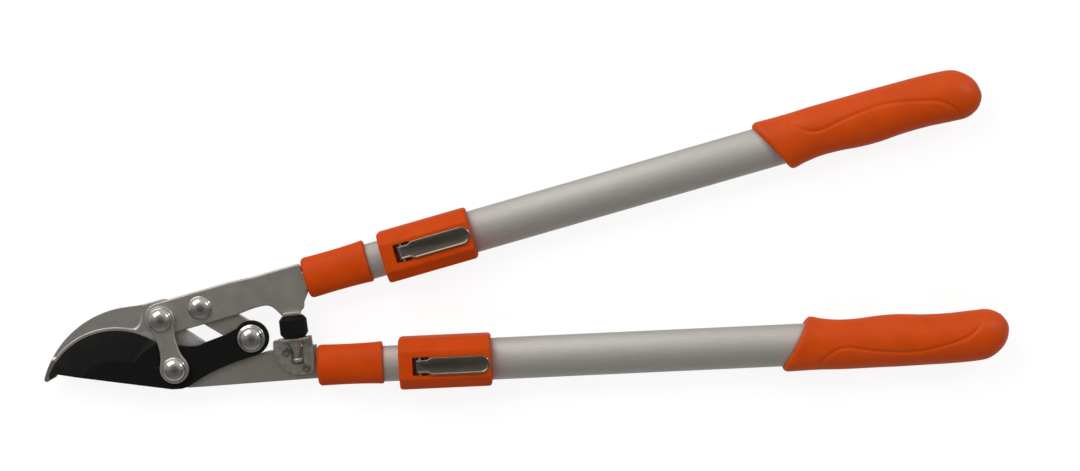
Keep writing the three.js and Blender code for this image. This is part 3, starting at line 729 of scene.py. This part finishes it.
def waisted_bar(length, first, second, waist):
    """Two round ends joined by a waisted middle."""
    half = waist / 2
    side = [(0.26, half + 0.95), (0.38, half + 0.2), (0.5, half), (0.62, half + 0.2), (0.74, half + 0.95)]
    return [
        *arc((0, 0), first, 62, 298),
        *curve(*((length * along, -across) for along, across in side)),
        *arc((length, 0), second, 242, 478),
        *curve(*((length * along, across) for along, across in reversed(side))),
    ]


def tie_plate():
    bottom, top = levels("tie_plate")
    length = (LEVER - MAIN).xy.length / MM
    holes = [circle((0, 0), BOLT_HOLE), circle((length, 0), BOLT_HOLE)]
    outline = waisted_bar(length, 10.3, 9.8, 13.0)
    shape = plate(outline, holes, bottom, top, 0.8, 5)
    weighted(whole("tie_plate", shape, tie_plan, PLATE_STEEL))


def link_bar():
    bottom, top = levels("link_bar")
    low, high = span("link_bar", link_plan)
    half = (high.y - low.y) / 2
    length = high.x - half
    outline = [*arc((0, 0), half, 90, 270), *arc((length, 0), half, -90, 90)]
    holes = [circle((0, 0), BOLT_HOLE), circle((length, 0), BOLT_HOLE + LINK_FREEDOM)]
    shape = plate(outline, holes, bottom, top, 0.5)
    weighted(whole("link_bar", shape, link_plan, PLATE_STEEL))


# ---------------------------------------------------------------- upper lever, bumper and bracket

BUMPER_LEAN = 4
SEAT_THICKNESS = 2.0
LIP_HALF = 6.4
LIP_THICKNESS = 2.6
LIP_DEPTH = 8.5
BUMPER_FOOT = (86.2, 18.3)        # middle of the bracket's seat
BRACKET_THICKNESS = 2.5

bumper_plan = shifted(plan, *BUMPER_FOOT, 0) @ Matrix.Rotation(math.radians(BUMPER_LEAN), 4, "Z")
bumper_stand = bumper_plan @ Matrix.Translation((0, 0, centre("bumper").z)) @ STAND_UP


def lip_underside():
    return span("bumper", bumper_plan)[1].y + GAP


def lever_outline():
    axis, shoulder, tang_end = tang_outline("upper_lever_plate", "upper", lever_plan)
    half = span("upper_lever_plate", lever_plan)[1].y
    to_lever = lever_plan.inverted() @ bumper_plan
    offset = to_lever.translation / MM
    turn = to_lever.to_3x3()
    left = offset + turn @ Vector((-LIP_HALF - 0.6, lip_underside(), 0))
    right = offset + turn @ Vector((LIP_HALF + 0.4, lip_underside() + 2.4, 0))
    return [
        *arc((0, 0), half, 270, 90),
        *lines((54, half), (71, half - 1.1), (shoulder - 3, half - 1.1)),
        *curve((shoulder - 1.2, half - 1.4), (shoulder - 0.3, half - 2.3), (shoulder, half - 4), spacing=0.5),
        *lines((shoulder, axis + TANG_HALF), (tang_end, axis + TANG_HALF)),
        *lines((tang_end, axis - TANG_HALF), (shoulder, axis - TANG_HALF)),
        *curve((shoulder, -10.3), (103.9, -12.8), (101.1, -16.4), (99.7, -20.2), right.xy),
        *curve(left.xy, (80.2, -16.6), (77.6, -13.2), (73.6, -11.3), (65.2, -10.9), (54, -half)),
    ]


def upper_lever_plate():
    bottom, top = levels("blade")
    crank = in_plan(INPUT, lever_plan)
    holes = [circle((0, 0), BOLT_HOLE), circle(crank, BOLT_HOLE)]
    piece = object_from("upper_lever_body", plate(lever_outline(), holes, bottom, top, 1.0, 5), lever_plan)
    under = lip_underside()
    lip = block((-LIP_HALF, under, bottom + 0.2), (LIP_HALF, under + LIP_THICKNESS, bottom + LIP_DEPTH), 0.6)
    to_lever = lever_plan.inverted() @ bumper_plan
    to_lever.translation /= MM
    carve(piece, [placed(lip, to_lever)], "UNION")
    stands_for(weighted(piece), "upper_lever_plate", PLATE_STEEL)


def bracket_outline(seat):
    return [
        *curve((70.3, 15.6), (70.3, 9.6), (72.3, 1.5), (77.8, -4.9), (86, -8.6), (96, -8.4)),
        *curve((97.2, -8.1), (98, -7.4), (98.2, -6.4), spacing=0.5),
        *lines((99.4, 3), (97.8, seat(97.8)), (75, seat(75))),
        *curve((74.4, 17.4), (73, 16.8), (71, 16.4), spacing=0.6),
    ]


def bumper_bracket():
    bottom, top = span("bumper_bracket", plan)[0].z, levels("bumper_bracket")[1]
    face_top = bottom + BRACKET_THICKNESS
    lean = math.tan(math.radians(BUMPER_LEAN))
    outline = bracket_outline(lambda x: BUMPER_FOOT[1] + (x - BUMPER_FOOT[0]) * lean)
    holes = [circle(in_plan(centre(f"bracket_rivet_{number}")), 1.85, 24) for number in (1, 2)]
    piece = object_from("bumper_bracket_body", plate(outline, holes, bottom, face_top, 0.5), plan)
    to_plan = plan.inverted() @ bumper_plan
    to_plan.translation /= MM
    seat = placed(block((-10, -SEAT_THICKNESS, bottom + 0.2), (10, 0, top), 0.55), to_plan)
    carve(piece, [seat], "UNION")
    stud_low = span("bumper_stud", bumper_plan)[0].y
    corners = lines(
        (-5.5, -SEAT_THICKNESS - 0.4), (-3.9, -SEAT_THICKNESS - 6), (-3.9, stud_low - 1),
        (3.9, stud_low - 1), (3.9, -SEAT_THICKNESS - 6), (4.6, -SEAT_THICKNESS - 0.4),
    )
    rim = [(0, bottom - 1), (0, face_top - 0.6), (-0.25, face_top - 0.2), (-0.8, face_top + 0.3)]
    opening = nested([oriented(filleted(corners, 1.2), 1)], rim)
    middle = centre("bumper").z / MM
    hole = placed(drill(2.85, 8, 32), to_plan @ Matrix.Translation((0, 0, middle)) @ STAND_UP)
    carve(piece, [placed(opening, to_plan), hole])
    stands_for(weighted(piece), "bumper_bracket", ZINC)


def bumper():
    """Rubber barrel with chamfered rims, standing on the seat."""
    height = span("bumper", bumper_plan)[1].y
    corners = [(0, height), (7.3, height), (7.7, height - 0.2), (9.65, height - 2.5), (9.8, height - 3)]
    corners += [(9.95, 3.4), (9.8, 2.9), (7.9, 0.5), (7.5, 0.3), (2.9, 0.3), (2.9, 8), (0, 8)]
    piece = object_from("bumper_rubber", turned(corners, 96), bumper_stand, 22)
    stands_for(weighted(piece), "bumper", BLACK_RUBBER)


def bumper_stud():
    """Threaded stud: a tapered ferrule under the seat, a threaded neck and a bright round tip."""
    low, high = span("bumper_stud", bumper_plan)
    under = -SEAT_THICKNESS - GAP
    ferrule_end = under - 6.6
    tip_top = low.y + 3.2
    profile = [(0, low.y), (2.2, low.y + 0.1), (3.1, low.y + 0.5), (3.7, low.y + 1.2), (3.7, tip_top - 0.9)]
    profile += [(3.2, tip_top - 0.1), (2.2, tip_top + 0.1)]
    pitch = 0.8
    for i in range(int((ferrule_end - tip_top - 0.4) / pitch)):
        start = tip_top + 0.2 + i * pitch
        profile += [(1.9, start), (2.4, start + pitch * 0.5)]
    profile += [(2.5, ferrule_end - 0.2), (3.0, ferrule_end), (5.2, under - 0.5), (5.3, under), (2.6, under)]
    profile += [(2.6, 7.6), (2.2, high.y), (0, high.y)]
    whole("bumper_stud", turned(profile, 64), bumper_stand, ZINC, 28)


def bracket_rivet(number):
    node = f"bracket_rivet_{number}"
    bottom, top = levels(node)
    back = levels("hook_plate")[0] - GAP
    face_top = levels("hook_plate")[1] + BRACKET_THICKNESS + 2 * GAP
    profile = [(0, bottom + 0.1), (1.8, bottom), (2.6, bottom + 0.3), (2.85, back), (1.6, back)]
    profile += [(1.6, face_top), (2.85, face_top), (2.8, face_top + 0.5), (2.3, face_top + 0.95)]
    profile += [(1.5, top - 0.15), (1.0, top - 0.35), (0, top - 0.45)]
    whole(node, turned(profile, 48), upright(node), RIVET_STEEL)


# ---------------------------------------------------------------- pivots

HEAD_RADIUS = 8.5
FLANGE_HEIGHT = 0.8
BOLT_RADIUS = 4.0
THREAD_PITCH = 1.25
NUT_CORNER = 7.5
COLLAR_HEIGHT = 2.0               # of the lock nut's round collar
RING = 96                         # points round a nut or an oval
PIVOTS = (                        # and the piece under each head
    ("main_pivot", "tie_plate"),
    ("lever_pivot", "tie_plate"),
    ("lever_link", "blade"),
    ("blade_link", "blade_link_cover"),
)


def domed_bolt(node, seat):
    """Bolt with a polished dome over a thin flange."""
    bottom, top = levels(node)
    foot = seat + FLANGE_HEIGHT
    steps = 24
    angles = [math.pi / 2 * i / steps for i in range(steps)]
    dome = [(8.05 * math.cos(angle), foot + (top - foot) * math.sin(angle)) for angle in angles]
    flange = [(8.1, 0), (8.42, 0.1), (HEAD_RADIUS, 0.35), (8.4, 0.6), (8.2, 0.68)]
    thread = []
    for i in range(5):
        start = bottom + 0.5 + i * THREAD_PITCH
        thread += [(BOLT_RADIUS - 0.25, start), (BOLT_RADIUS, start + 0.6)]
    profile = [(0, bottom), (3.5, bottom), *thread, (BOLT_RADIUS, seat)]
    profile += [(radius, seat + height) for radius, height in flange] + [*dome, (0, top)]
    whole(node, turned(profile, 96), upright(node), CHROME, 40)


def washer(node, finish, edge=0.25):
    low, high = span(node, plan)
    inner, outer = BOLT_HOLE, (high.x - low.x) / 2
    bottom, top = levels(node)
    profile = [
        (inner, bottom + edge), (inner + edge, bottom), (outer - edge, bottom), (outer, bottom + edge),
        (outer, top - edge), (outer - edge, top), (inner + edge, top), (inner, top - edge),
    ]
    whole(node, turned([*profile, profile[0]], 96), upright(node), finish, 50)


def lock_nut(node):
    """Hexagon nut with chamfered corners and a crimped round collar on its free side."""
    bottom, top = levels(node)
    flats = NUT_CORNER * math.cos(math.radians(30))
    collar_top = bottom + COLLAR_HEIGHT
    stations = [
        (4.3, bottom + 0.6), (4.6, bottom + 0.1), (5.2, bottom), (5.7, bottom + 0.25), (6.0, bottom + 0.9),
        (6.0, collar_top), (flats, collar_top), (6.9, collar_top + 0.25), (7.25, collar_top + 0.6),
        (NUT_CORNER, collar_top + 1.1), (NUT_CORNER, top - 1.1), (7.25, top - 0.5), (6.8, top - 0.1),
        (flats - 0.1, top), (4.6, top), (4.25, top - 0.3), (4.25, bottom + 1.5),
    ]
    rings = []
    for radius, height in stations:
        ring = []
        for i in range(RING):
            angle = 360 * i / RING
            across = flats / math.cos(math.radians(angle % 60 - 30))
            ring.append((*polar(min(radius, across), angle), height))
        rings.append(ring)
    whole(node, lofted(rings, closed=True), upright(node), ZINC, 25)


def pivots():
    for name, under_head in PIVOTS:
        domed_bolt(f"{name}_bolt", levels(under_head)[1] + GAP)
    washer("blade_link_cover", CHROME, 0.4)
    for name, _ in PIVOTS:
        washer(f"{name}_washer", ZINC)
        lock_nut(f"{name}_nut")


# ---------------------------------------------------------------- handles

TUBE_WALL = 1.6


def oval(x, half_y, half_z, middle_y=0.0, count=RING):
    angles = [2 * math.pi * i / count for i in range(count)]
    return [(x, middle_y + half_y * math.cos(a), half_z * math.sin(a)) for a in angles]


def half_section(node, place):
    low, high = span(node, place)
    return (high.y - low.y) / 2, (high.z - low.z) / 2


def oval_tube(node, place, finish):
    """Thin oval tube with eased ends."""
    low, high = span(node, place)
    y, z = half_section(node, place)
    ease = 0.3
    rings = [oval(low.x, y - ease, z - ease), oval(low.x + ease, y, z)]
    rings += [oval(low.x + (high.x - low.x) * i / 8, y, z) for i in range(1, 8)]
    rings += [oval(high.x - ease, y, z), oval(high.x, y - ease, z - ease)]
    inner_y, inner_z = y - TUBE_WALL, z - TUBE_WALL
    rings += [oval(high.x, inner_y + ease, inner_z + ease), oval(high.x - ease, inner_y, inner_z)]
    rings += [oval(low.x + ease, inner_y, inner_z), oval(low.x, inner_y + ease, inner_z + ease)]
    whole(node, lofted(rings, closed=True), place, finish, 50)


def collar(handle, place, node):
    """Moulded collar: rounded nose, slightly waisted body and a flared rear rim."""
    low, high = span(node, place)
    rise = (low.y + high.y) / 2
    y, z = half_section(node, place)
    tube_y, tube_z = half_section(f"{handle}_inner_tube", place)
    nose, rim = 3.2, 1.2
    body_y, body_z = y - 0.5, z - 0.4
    rings = [
        oval(low.x + nose * along, body_y - nose * across, body_z - nose * across, rise)
        for across, along in quarter(6)
    ]
    steps, flare_start, waist_end = 14, 0.72, 0.8
    for i in range(1, steps):
        t = i / steps
        flare = 0.5 * max(0.0, (t - flare_start) / (1 - flare_start)) ** 2
        flare -= 0.25 * math.sin(math.pi * min(t / waist_end, 1))
        x = low.x + nose + (high.x - low.x - nose - rim) * t
        rings.append(oval(x, body_y + flare, body_z + flare, rise))
    for across, along in quarter(5)[::-1]:
        rings.append(oval(high.x - rim * along, y - rim * across, z - rim * across, rise))
    bore_y, bore_z = tube_y + GAP, tube_z + GAP
    rings.append(oval(high.x, bore_y + 0.4, bore_z + 0.4))
    rings += [oval(high.x - 0.5, bore_y, bore_z), oval(low.x + 5, bore_y, bore_z)]
    piece = object_from(f"{node}_body", lofted(rings), place, 40)
    bottom, top = levels(HANDLES[handle]["plate"])
    level = place.translation.z / MM
    room = TANG_HALF + GAP
    tang_room = block((low.x - 1, -room, bottom - level - GAP), (low.x + 6, room, top - level + GAP))
    carve(piece, [tang_room], sharp=40)
    stands_for(piece, node, ORANGE_PLASTIC)


SLEEVE_RAYS = [polar(1, 360 * i / 160) for i in range(160)]
SLEEVE_CHAMFER = (8.0, 7.5)       # across the face, and down the flank
TUBE_STOP = 27.5                  # where the outer tube ends in the sleeve
LEVER_NECK = 9.6
LEVER_DEPTH = 2.5                 # of the lever's underside over the pin's centre
NECK_OVERHANG = 2.4               # of the neck in front of the pin
PIN_RADIUS = 1.2
CAM_DROP = 0.4
PARALLEL = 1e-9


def reach_of(ray, polygon):
    """Distance from the origin to the farthest side of a polygon along a ray."""
    reaches = []
    for a, b in zip(polygon, polygon[1:] + polygon[:1]):
        side = b - a
        cross = ray.x * side.y - ray.y * side.x
        if abs(cross) < PARALLEL:
            continue
        reach = (a.x * side.y - a.y * side.x) / cross
        along = (a.x * ray.y - a.y * ray.x) / cross
        if reach > 0 and -1e-6 <= along <= 1 + 1e-6:
            reaches.append(reach)
    return max(reaches)


def lock_sleeve(handle, place, node):
    """Moulded slide housing: flat face, chamfered flanks, rounded ends and a pocket for the lever's neck."""
    low, high = span(node, place)
    y, front, back = (high.y - low.y) / 2, high.z, low.z
    across, down = SLEEVE_CHAMFER
    section = lines(
        (y, back + down), (y, front - down), (y - across, front), (-y + across, front),
        (-y, front - down), (-y, back + down), (-y + across, back), (y - across, back),
    )
    section = oriented(filleted(section, 3.0, 6), 1)
    ease, run = 1.7, 2.8

    def ring(x, by):
        polygon = inset(section, by)
        return [(x, *(ray * reach_of(ray, polygon))) for ray in SLEEVE_RAYS]

    def bore(x, half_y, half_z):
        return [(x, *(ray / math.hypot(ray.x / half_y, ray.y / half_z))) for ray in SLEEVE_RAYS]

    inner = [half + 2 * GAP for half in half_section(f"{handle}_inner_tube", place)]
    outer = [half + GAP for half in half_section(f"{handle}_outer_tube", place)]
    step = low.x + TUBE_STOP - GAP
    rings = [ring(low.x + run * along, ease * across) for across, along in quarter(8)]
    rings += [ring(low.x + (high.x - low.x) * t, 0) for t in (0.2, 0.4, 0.6, 0.8)]
    rings += [ring(high.x - run * along, ease * across) for across, along in quarter(8)[::-1]]
    rings += [bore(high.x, outer[0] + 0.3, outer[1] + 0.3), bore(high.x - 0.4, *outer), bore(step, *outer)]
    rings += [bore(step, *inner), bore(low.x + 0.6, *inner), bore(low.x, inner[0] + 0.5, inner[1] + 0.5)]
    piece = object_from(f"{node}_body", lofted(rings, closed=True), place, 40)
    pin_low, pin_high = span(f"{handle}_lock_pin", place)
    pin_x, pin_y, pin_z = (pin_low + pin_high) / 2
    half = LEVER_NECK / 2 + 1.7
    start, end = pin_x - 5.05, pin_x + 6.5
    corners = lines((start, pin_y - half), (end, pin_y - half), (end, pin_y + half), (start, pin_y + half))
    rim = [(0, 0), (0, front - 0.5), (-0.35, front), (-0.9, front + 1)]
    pocket = nested([oriented(filleted(corners, 1.0), 1)], rim)
    pin_place = Matrix.Translation((pin_x, pin_y, pin_z)) @ STAND_UP
    carve(piece, [pocket, placed(drill(PIN_RADIUS + 0.15, half + 4), pin_place)], sharp=40)
    stands_for(piece, node, ORANGE_PLASTIC)


def chamfered_bar(half, radius, chamfer, steps):
    """A round bar about Z with chamfered ends."""
    face = radius - chamfer
    profile = [(0, -half), (face, -half), (radius, chamfer - half), (radius, half - chamfer), (face, half)]
    return turned([*profile, (0, half)], steps)


def lock_pin(place, node):
    low, high = span(node, place)
    pin_place = shifted(place, *(low + high) / 2) @ STAND_UP
    whole(node, chamfered_bar((high.y - low.y) / 2, PIN_RADIUS, 0.3, 40), pin_place, CHROME)


def around_pin(across, radius, drop=CAM_DROP):
    """A circle round the lock pin, which runs along Y; the cam's own circles sit below its centre."""
    return [(point.x, across, point.y) for point in circle((0, -drop), radius, 64)]


def lock_lever(handle, place, node):
    """Pressed lever: a dished plate with a rolled rim, a narrow neck and a cam round the lock pin."""
    pin_low, pin_high = span(f"{handle}_lock_pin", place)
    pin = (pin_low + pin_high) / 2
    low, high = span(node, place)
    neck = LEVER_NECK / 2
    half = (high.y - low.y) / 2
    start, end = -NECK_OVERHANG, high.x - pin.x
    bottom, top = LEVER_DEPTH, high.z - pin.z
    shoulder = [(3.2, neck), (5.2, neck + 0.15), (6.6, neck + 0.85), (8.2, half - 0.1), (10, half)]
    outline = [
        *curve((start, neck - 0.7), (start, -neck + 0.7), spacing=1),
        *curve((start + 0.2, -neck + 0.2), (start + 0.7, -neck), spacing=0.3),
        *curve(*((x, -y) for x, y in shoulder), spacing=0.5),
        *arc((end - half, 0), half, -90, 90, 0.6),
        *curve(*reversed(shoulder), spacing=0.5),
        *curve((start + 0.7, neck), (start + 0.2, neck - 0.2), spacing=0.3),
    ]
    under = [(1.35, 0.55), (1.15, 0.1), (0.9, 0), (0.25, 0), (0.05, 0.2), (0, 0.5)]
    rim = [(0, 0.95), (0.1, 0.5), (0.35, 0.15), (0.7, 0), (1.05, 0.08), (1.35, 0.28), (1.55, 0.5)]
    rim.append((1.75, 0.58))
    profile = [(across, bottom + rise) for across, rise in under]
    profile += [(across, top - drop) for across, drop in rim]
    sheet = nested([oriented(spaced(outline), 1)], profile)
    radius = pin.z - low.z - CAM_DROP
    side, bevel, bore = neck - 0.1, 0.2, PIN_RADIUS + 0.2
    cam = lofted([
        around_pin(-side, radius - bevel), around_pin(bevel - side, radius), around_pin(side - bevel, radius),
        around_pin(side, radius - bevel), around_pin(side, bore, 0), around_pin(-side, bore, 0),
    ], closed=True)
    whole(node, together(sheet, cam), shifted(place, *pin), DARK_NICKEL, 40)


def brake_pad(place, node):
    weighted(whole(node, block(*span(node, place)), place, WHITE_NYLON))


def tang_rivet(place, node):
    low, high = span(node, place)
    shape = chamfered_bar((high.z - low.z) / 2, 2.0, 0.4, 48)
    whole(node, shape, shifted(place, *(low + high) / 2), ZINC)


def glide_plug(handle, place, node):
    """Nylon plug: a running flange and a spigot inside the inner tube."""
    low, high = span(node, place)
    y, z = half_section(node, place)
    flange = high.x - 5.0
    spigot_y, spigot_z = (half - TUBE_WALL - GAP for half in half_section(f"{handle}_inner_tube", place))
    rings = [oval(low.x, spigot_y - 0.8, spigot_z - 0.8), oval(low.x + 1.2, spigot_y, spigot_z)]
    rings += [oval(flange, spigot_y, spigot_z), oval(flange, y - 0.4, z - 0.4), oval(flange + 0.4, y, z)]
    rings += [oval(high.x - 0.6, y, z), oval(high.x, y - 0.6, z - 0.6)]
    whole(node, lofted(rings), place, WHITE_NYLON, 40)


# Wall of a grip over its tube, back from the rounded end:
# distance, wall towards the other handle, wall on the outer side, wall front and back.
GRIP_STATIONS = [
    (0, -10, -20, -10), (0, -7.8, -17.8, -7.8), (1.6, -4, -11.4, -4), (6, 0.9, -5.2, 0.8), (14, 4.2, 0.4, 4),
    (24, 4, 2.3, 4.9), (42, 2.7, 3.2, 5), (60, 2.6, 3.5, 5), (78, 3.6, 3.8, 5), (92, 3.2, 3.8, 4.9),
    (106, 1.9, 3.9, 4.6), (120, 1.6, 3.9, 4.3), (132, 3, 3.6, 4), (142, 5, 3.6, 3.8), (161, 5.4, 4, 3.6),
]
# Run of the groove over a grip's face: distance back from the end, and across, inner side positive.
GRIP_GROOVE = [
    (139.5, -20.5), (138.2, -18.1), (134.6, -11.7), (127, -5), (116.8, -1.9), (94.1, -5.5),
    (68.2, -7), (42, -1.9), (29.8, 2.9), (21.8, 10.1), (18.8, 17.1), (18.4, 19.5),
]
GROOVE_FROM = 12                  # back from the end, clear of the rounded end
GROOVE_DEPTH = 0.85
GROOVE_HALF = 1.15
END_RUN = 30                      # length of the rounded end, which has the closest rings
MOUTH_RUN_FROM = 88               # where the rings begin to lean like the mouth
MOUTH_LEAN = 13.5 / 29.2
LIP_RUN = 4.4
LIP_LEAST = 0.15                  # share of the wall that is left at the mouth's edge
GRIP_END_WALL = 14.0
GRIP_COUNT = 200


def smooth_rows(rows, per_span):
    """Rows of numbers with smooth rows filled in between them."""
    table = np.array(rows, float)
    padded = np.vstack([2 * table[0] - table[1], table, 2 * table[-1] - table[-2]])
    spans = range(len(table) - 1)
    filled = [between(*padded[k:k + 4], i / per_span) for k in spans for i in range(per_span)]
    return np.array([*filled, table[-1]])


def grip(handle, place, node, side):
    """Soft grip: swelling body, rounded end, slanted mouth with a rolled lip, and a groove on both faces."""
    low, high = span(node, place)
    end, length = high.x, high.x - low.x
    tube_y, tube_z = half_section(f"{handle}_outer_tube", place)
    profile = smooth_rows(GRIP_STATIONS, 16)
    profile[:, 0] = np.clip(profile[:, 0], 0, length)
    angles = np.arange(GRIP_COUNT) * 2 * math.pi / GRIP_COUNT
    across, upwards = np.cos(angles), np.sin(angles)
    table = profile[np.argsort(profile[:, 0], kind="stable")]
    groove = smooth_rows(GRIP_GROOVE, 14)

    def walls(back):
        return [np.interp(back, table[:, 0], table[:, column]) for column in (1, 2, 3)]

    def surface(inner, outer, depth):
        middle = (inner - outer) / 2
        half = tube_y + (inner + outer) / 2
        return middle + half * across, (tube_z + depth) * upwards, half, middle

    mouth_shift = 0.5 + (tube_y + 2 + across * (tube_y + 4)) * MOUTH_LEAN
    rings = []
    stations = [row for row in profile if row[0] < END_RUN]
    stations += [(back, *walls(back)) for back in np.arange(END_RUN + 0.6, length + 0.01, 1.0)]
    for back, inner, outer, depth in stations:
        blend = min(max((back - MOUTH_RUN_FROM) / (length - MOUTH_RUN_FROM), 0), 1) ** 2
        shifted_back = np.full(GRIP_COUNT, back) - mouth_shift * blend
        if back > END_RUN:
            inner, outer, depth = walls(shifted_back)
        if back > MOUTH_RUN_FROM:
            from_mouth = np.clip((length - mouth_shift - shifted_back) / LIP_RUN, 0, 1)
            lip = np.sqrt(np.clip(1 - (1 - from_mouth) ** 2, 0, 1)) * (1 - LIP_LEAST) + LIP_LEAST
            inner, outer, depth = inner * lip, outer * lip, depth * lip
        y, z, half, middle = surface(inner, outer, depth)
        apart = np.hypot(shifted_back[:, None] - groove[:, 0], y[:, None] - groove[:, 1]).min(axis=1)
        sink = GROOVE_DEPTH * np.exp(-(apart / GROOVE_HALF) ** 2) * np.clip(np.abs(upwards) * 3 - 0.5, 0, 1)
        if back > GROOVE_FROM:
            normal = np.stack([(y - middle) / half**2, z / (tube_z + depth) ** 2])
            normal /= np.linalg.norm(normal, axis=0)
            y, z = y - normal[0] * sink, z - normal[1] * sink
        rings.append(np.stack([end - shifted_back, side * y, z], axis=1))
    bore_y, bore_z = (tube_y + GAP) * across, (tube_z + GAP) * upwards
    for depth, ease in ((0.0, 0.3), (0.5, 0.0), (length * 0.3, 0.0), (length, 0.0)):
        x = np.minimum(end - length + mouth_shift + depth, end - GRIP_END_WALL)
        rings.append(np.stack([x, side * bore_y * (1 + ease / tube_y), bore_z * (1 + ease / tube_z)], axis=1))
    whole(node, lofted([ring.tolist() for ring in rings]), place, ORANGE_GRIP, 50)


def handles():
    for handle, spec in HANDLES.items():
        place = spec["place"]
        collar(handle, place, f"{handle}_collar")
        oval_tube(f"{handle}_inner_tube", place, INNER_ALUMINIUM)
        oval_tube(f"{handle}_outer_tube", place, OUTER_ALUMINIUM)
        lock_sleeve(handle, place, f"{handle}_lock_sleeve")
        lock_pin(place, f"{handle}_lock_pin")
        lock_lever(handle, place, f"{handle}_lock_lever")
        brake_pad(place, f"{handle}_brake_pad")
        tang_rivet(place, f"{handle}_tang_rivet")
        glide_plug(handle, place, f"{handle}_glide_plug")
        grip(handle, place, f"{handle}_grip", spec["side"])


# ---------------------------------------------------------------- stage, light and camera


FLOOR_GAP = 0.0003                # under the lowest pieces, in metres
ROOM_GREYS = ((0.0, 0.22), (0.2, 0.12), (0.4, 0.14), (0.5, 0.26), (0.72, 0.50), (1.0, 0.62))    # -Y to +Y


def floor():
    """A luminous pale table: nearly white, with faint shadows, and dimmer where metal mirrors it."""
    vertices = [Vector((x, y, -FLOOR_GAP)) / MM for x, y in ((-8, -8), (8, -8), (8, 8), (-8, 8))]
    piece = object_from("floor", (vertices, [(0, 1, 2, 3)]), Matrix.Identity(4))
    finish = Finish("floor_paper")
    paper = finish.ramp(finish.noise(0.02, 2, 0.5), (0.3, 0.20), (0.7, 0.22))
    seen = finish.tree.nodes.new("ShaderNodeLightPath").outputs["Is Camera Ray"]
    glow = finish.math("MULTIPLY_ADD", seen, 0.55, 0.32)
    for name, value in (
        ("Base Color", paper), ("Roughness", 0.9), ("Specular IOR Level", 0.1),
        ("Emission Color", (1, 1, 1, 1)), ("Emission Strength", glow),
    ):
        connect(finish.tree, value, finish.shader.inputs[name])
    piece.data.materials.append(finish.material)


def softbox(name, direction, distance, size, power, colour, mirrored=True):
    light = bpy.data.lights.new(name, "AREA")
    light.shape = "RECTANGLE"
    light.size, light.size_y = size
    light.energy = power
    light.color = colour
    lamp = bpy.data.objects.new(name, light)
    collection.objects.link(lamp)
    towards = Vector(direction).normalized()
    lamp.location = towards * distance
    lamp.rotation_mode = "QUATERNION"
    lamp.rotation_quaternion = towards.to_track_quat("Z", "Y")
    lamp.visible_glossy = mirrored


def surroundings():
    """A pale room, brighter towards +Y, with a dim patch overhead where the camera stands."""
    world = bpy.data.worlds.new("room")
    bpy.context.scene.world = world
    world.use_nodes = True
    tree = world.node_tree
    direction = add_node(tree, "TexCoord").outputs["Generated"]
    separate = add_node(tree, "SeparateXYZ", Vector=direction)
    sideways = add_node(tree, "MapRange", Value=separate.outputs["Y"], From_Min=-1.0)
    stops = [(position, (grey, grey * 0.985, grey * 0.96)) for position, grey in ROOM_GREYS]
    across = colour_ramp(tree, sideways.outputs["Result"], stops)
    overhead = add_node(
        tree, "MapRange", Value=separate.outputs["Z"], From_Min=0.86, From_Max=0.99, To_Min=1.0, To_Max=0.45,
    )
    overhead.interpolation_type = "SMOOTHSTEP"
    light = tree.nodes.new("ShaderNodeVectorMath")
    light.operation = "SCALE"
    connect(tree, across, light.inputs[0])
    connect(tree, overhead.outputs["Result"], light.inputs["Scale"])
    seen = add_node(tree, "LightPath").outputs["Is Camera Ray"]
    colour = mixed(tree, seen, light.outputs["Vector"], (0.92, 0.92, 0.92))
    connect(tree, colour, tree.nodes["Background"].inputs["Color"])


def camera():
    """Looks down on the part, turned a little so that the lower handle rises to the right."""
    tilt, roll = math.radians(5.5), math.radians(2.65)
    right = Vector((math.cos(roll), -math.sin(roll), 0))
    top = Vector((math.sin(roll), math.cos(roll), 0))
    away = math.cos(tilt) * Vector((0, 0, 1)) + math.sin(tilt) * top
    target = Vector((0.0134, 0.0011, 0.0152))
    lens = bpy.data.cameras.new("camera")
    lens.sensor_width = 36
    lens.lens = 80
    width_seen = 0.7646
    distance = width_seen * lens.lens / lens.sensor_width
    view = bpy.data.objects.new("camera", lens)
    collection.objects.link(view)
    turn = Matrix((right, away.cross(right), away)).transposed().to_4x4()
    view.matrix_world = Matrix.Translation(target + away * distance) @ turn
    bpy.context.scene.camera = view


bpy.context.scene.view_settings.view_transform = "Standard"
camera()
floor()
surroundings()
softbox("upper_left_softbox", (-0.62, 0.78, 0.80), 2.2, (1.7, 1.3), 12, (1, 1, 1))
softbox("upper_left_fill", (-0.62, 0.78, 0.80), 2.25, (1.7, 1.3), 15, (1, 1, 1), mirrored=False)
softbox("upper_right_softbox", (1.0, 0.62, 0.75), 2.4, (0.5, 0.5), 9, (1, 0.93, 0.84))
softbox("lower_fill", (0.1, -1.0, 0.9), 2.2, (1.6, 0.8), 8, (1, 1, 1), mirrored=False)

hook_plate()
blade()
tie_plate()
link_bar()
upper_lever_plate()
bumper_bracket()
bumper()
bumper_stud()
bracket_rivet(1)
bracket_rivet(2)
pivots()
handles()
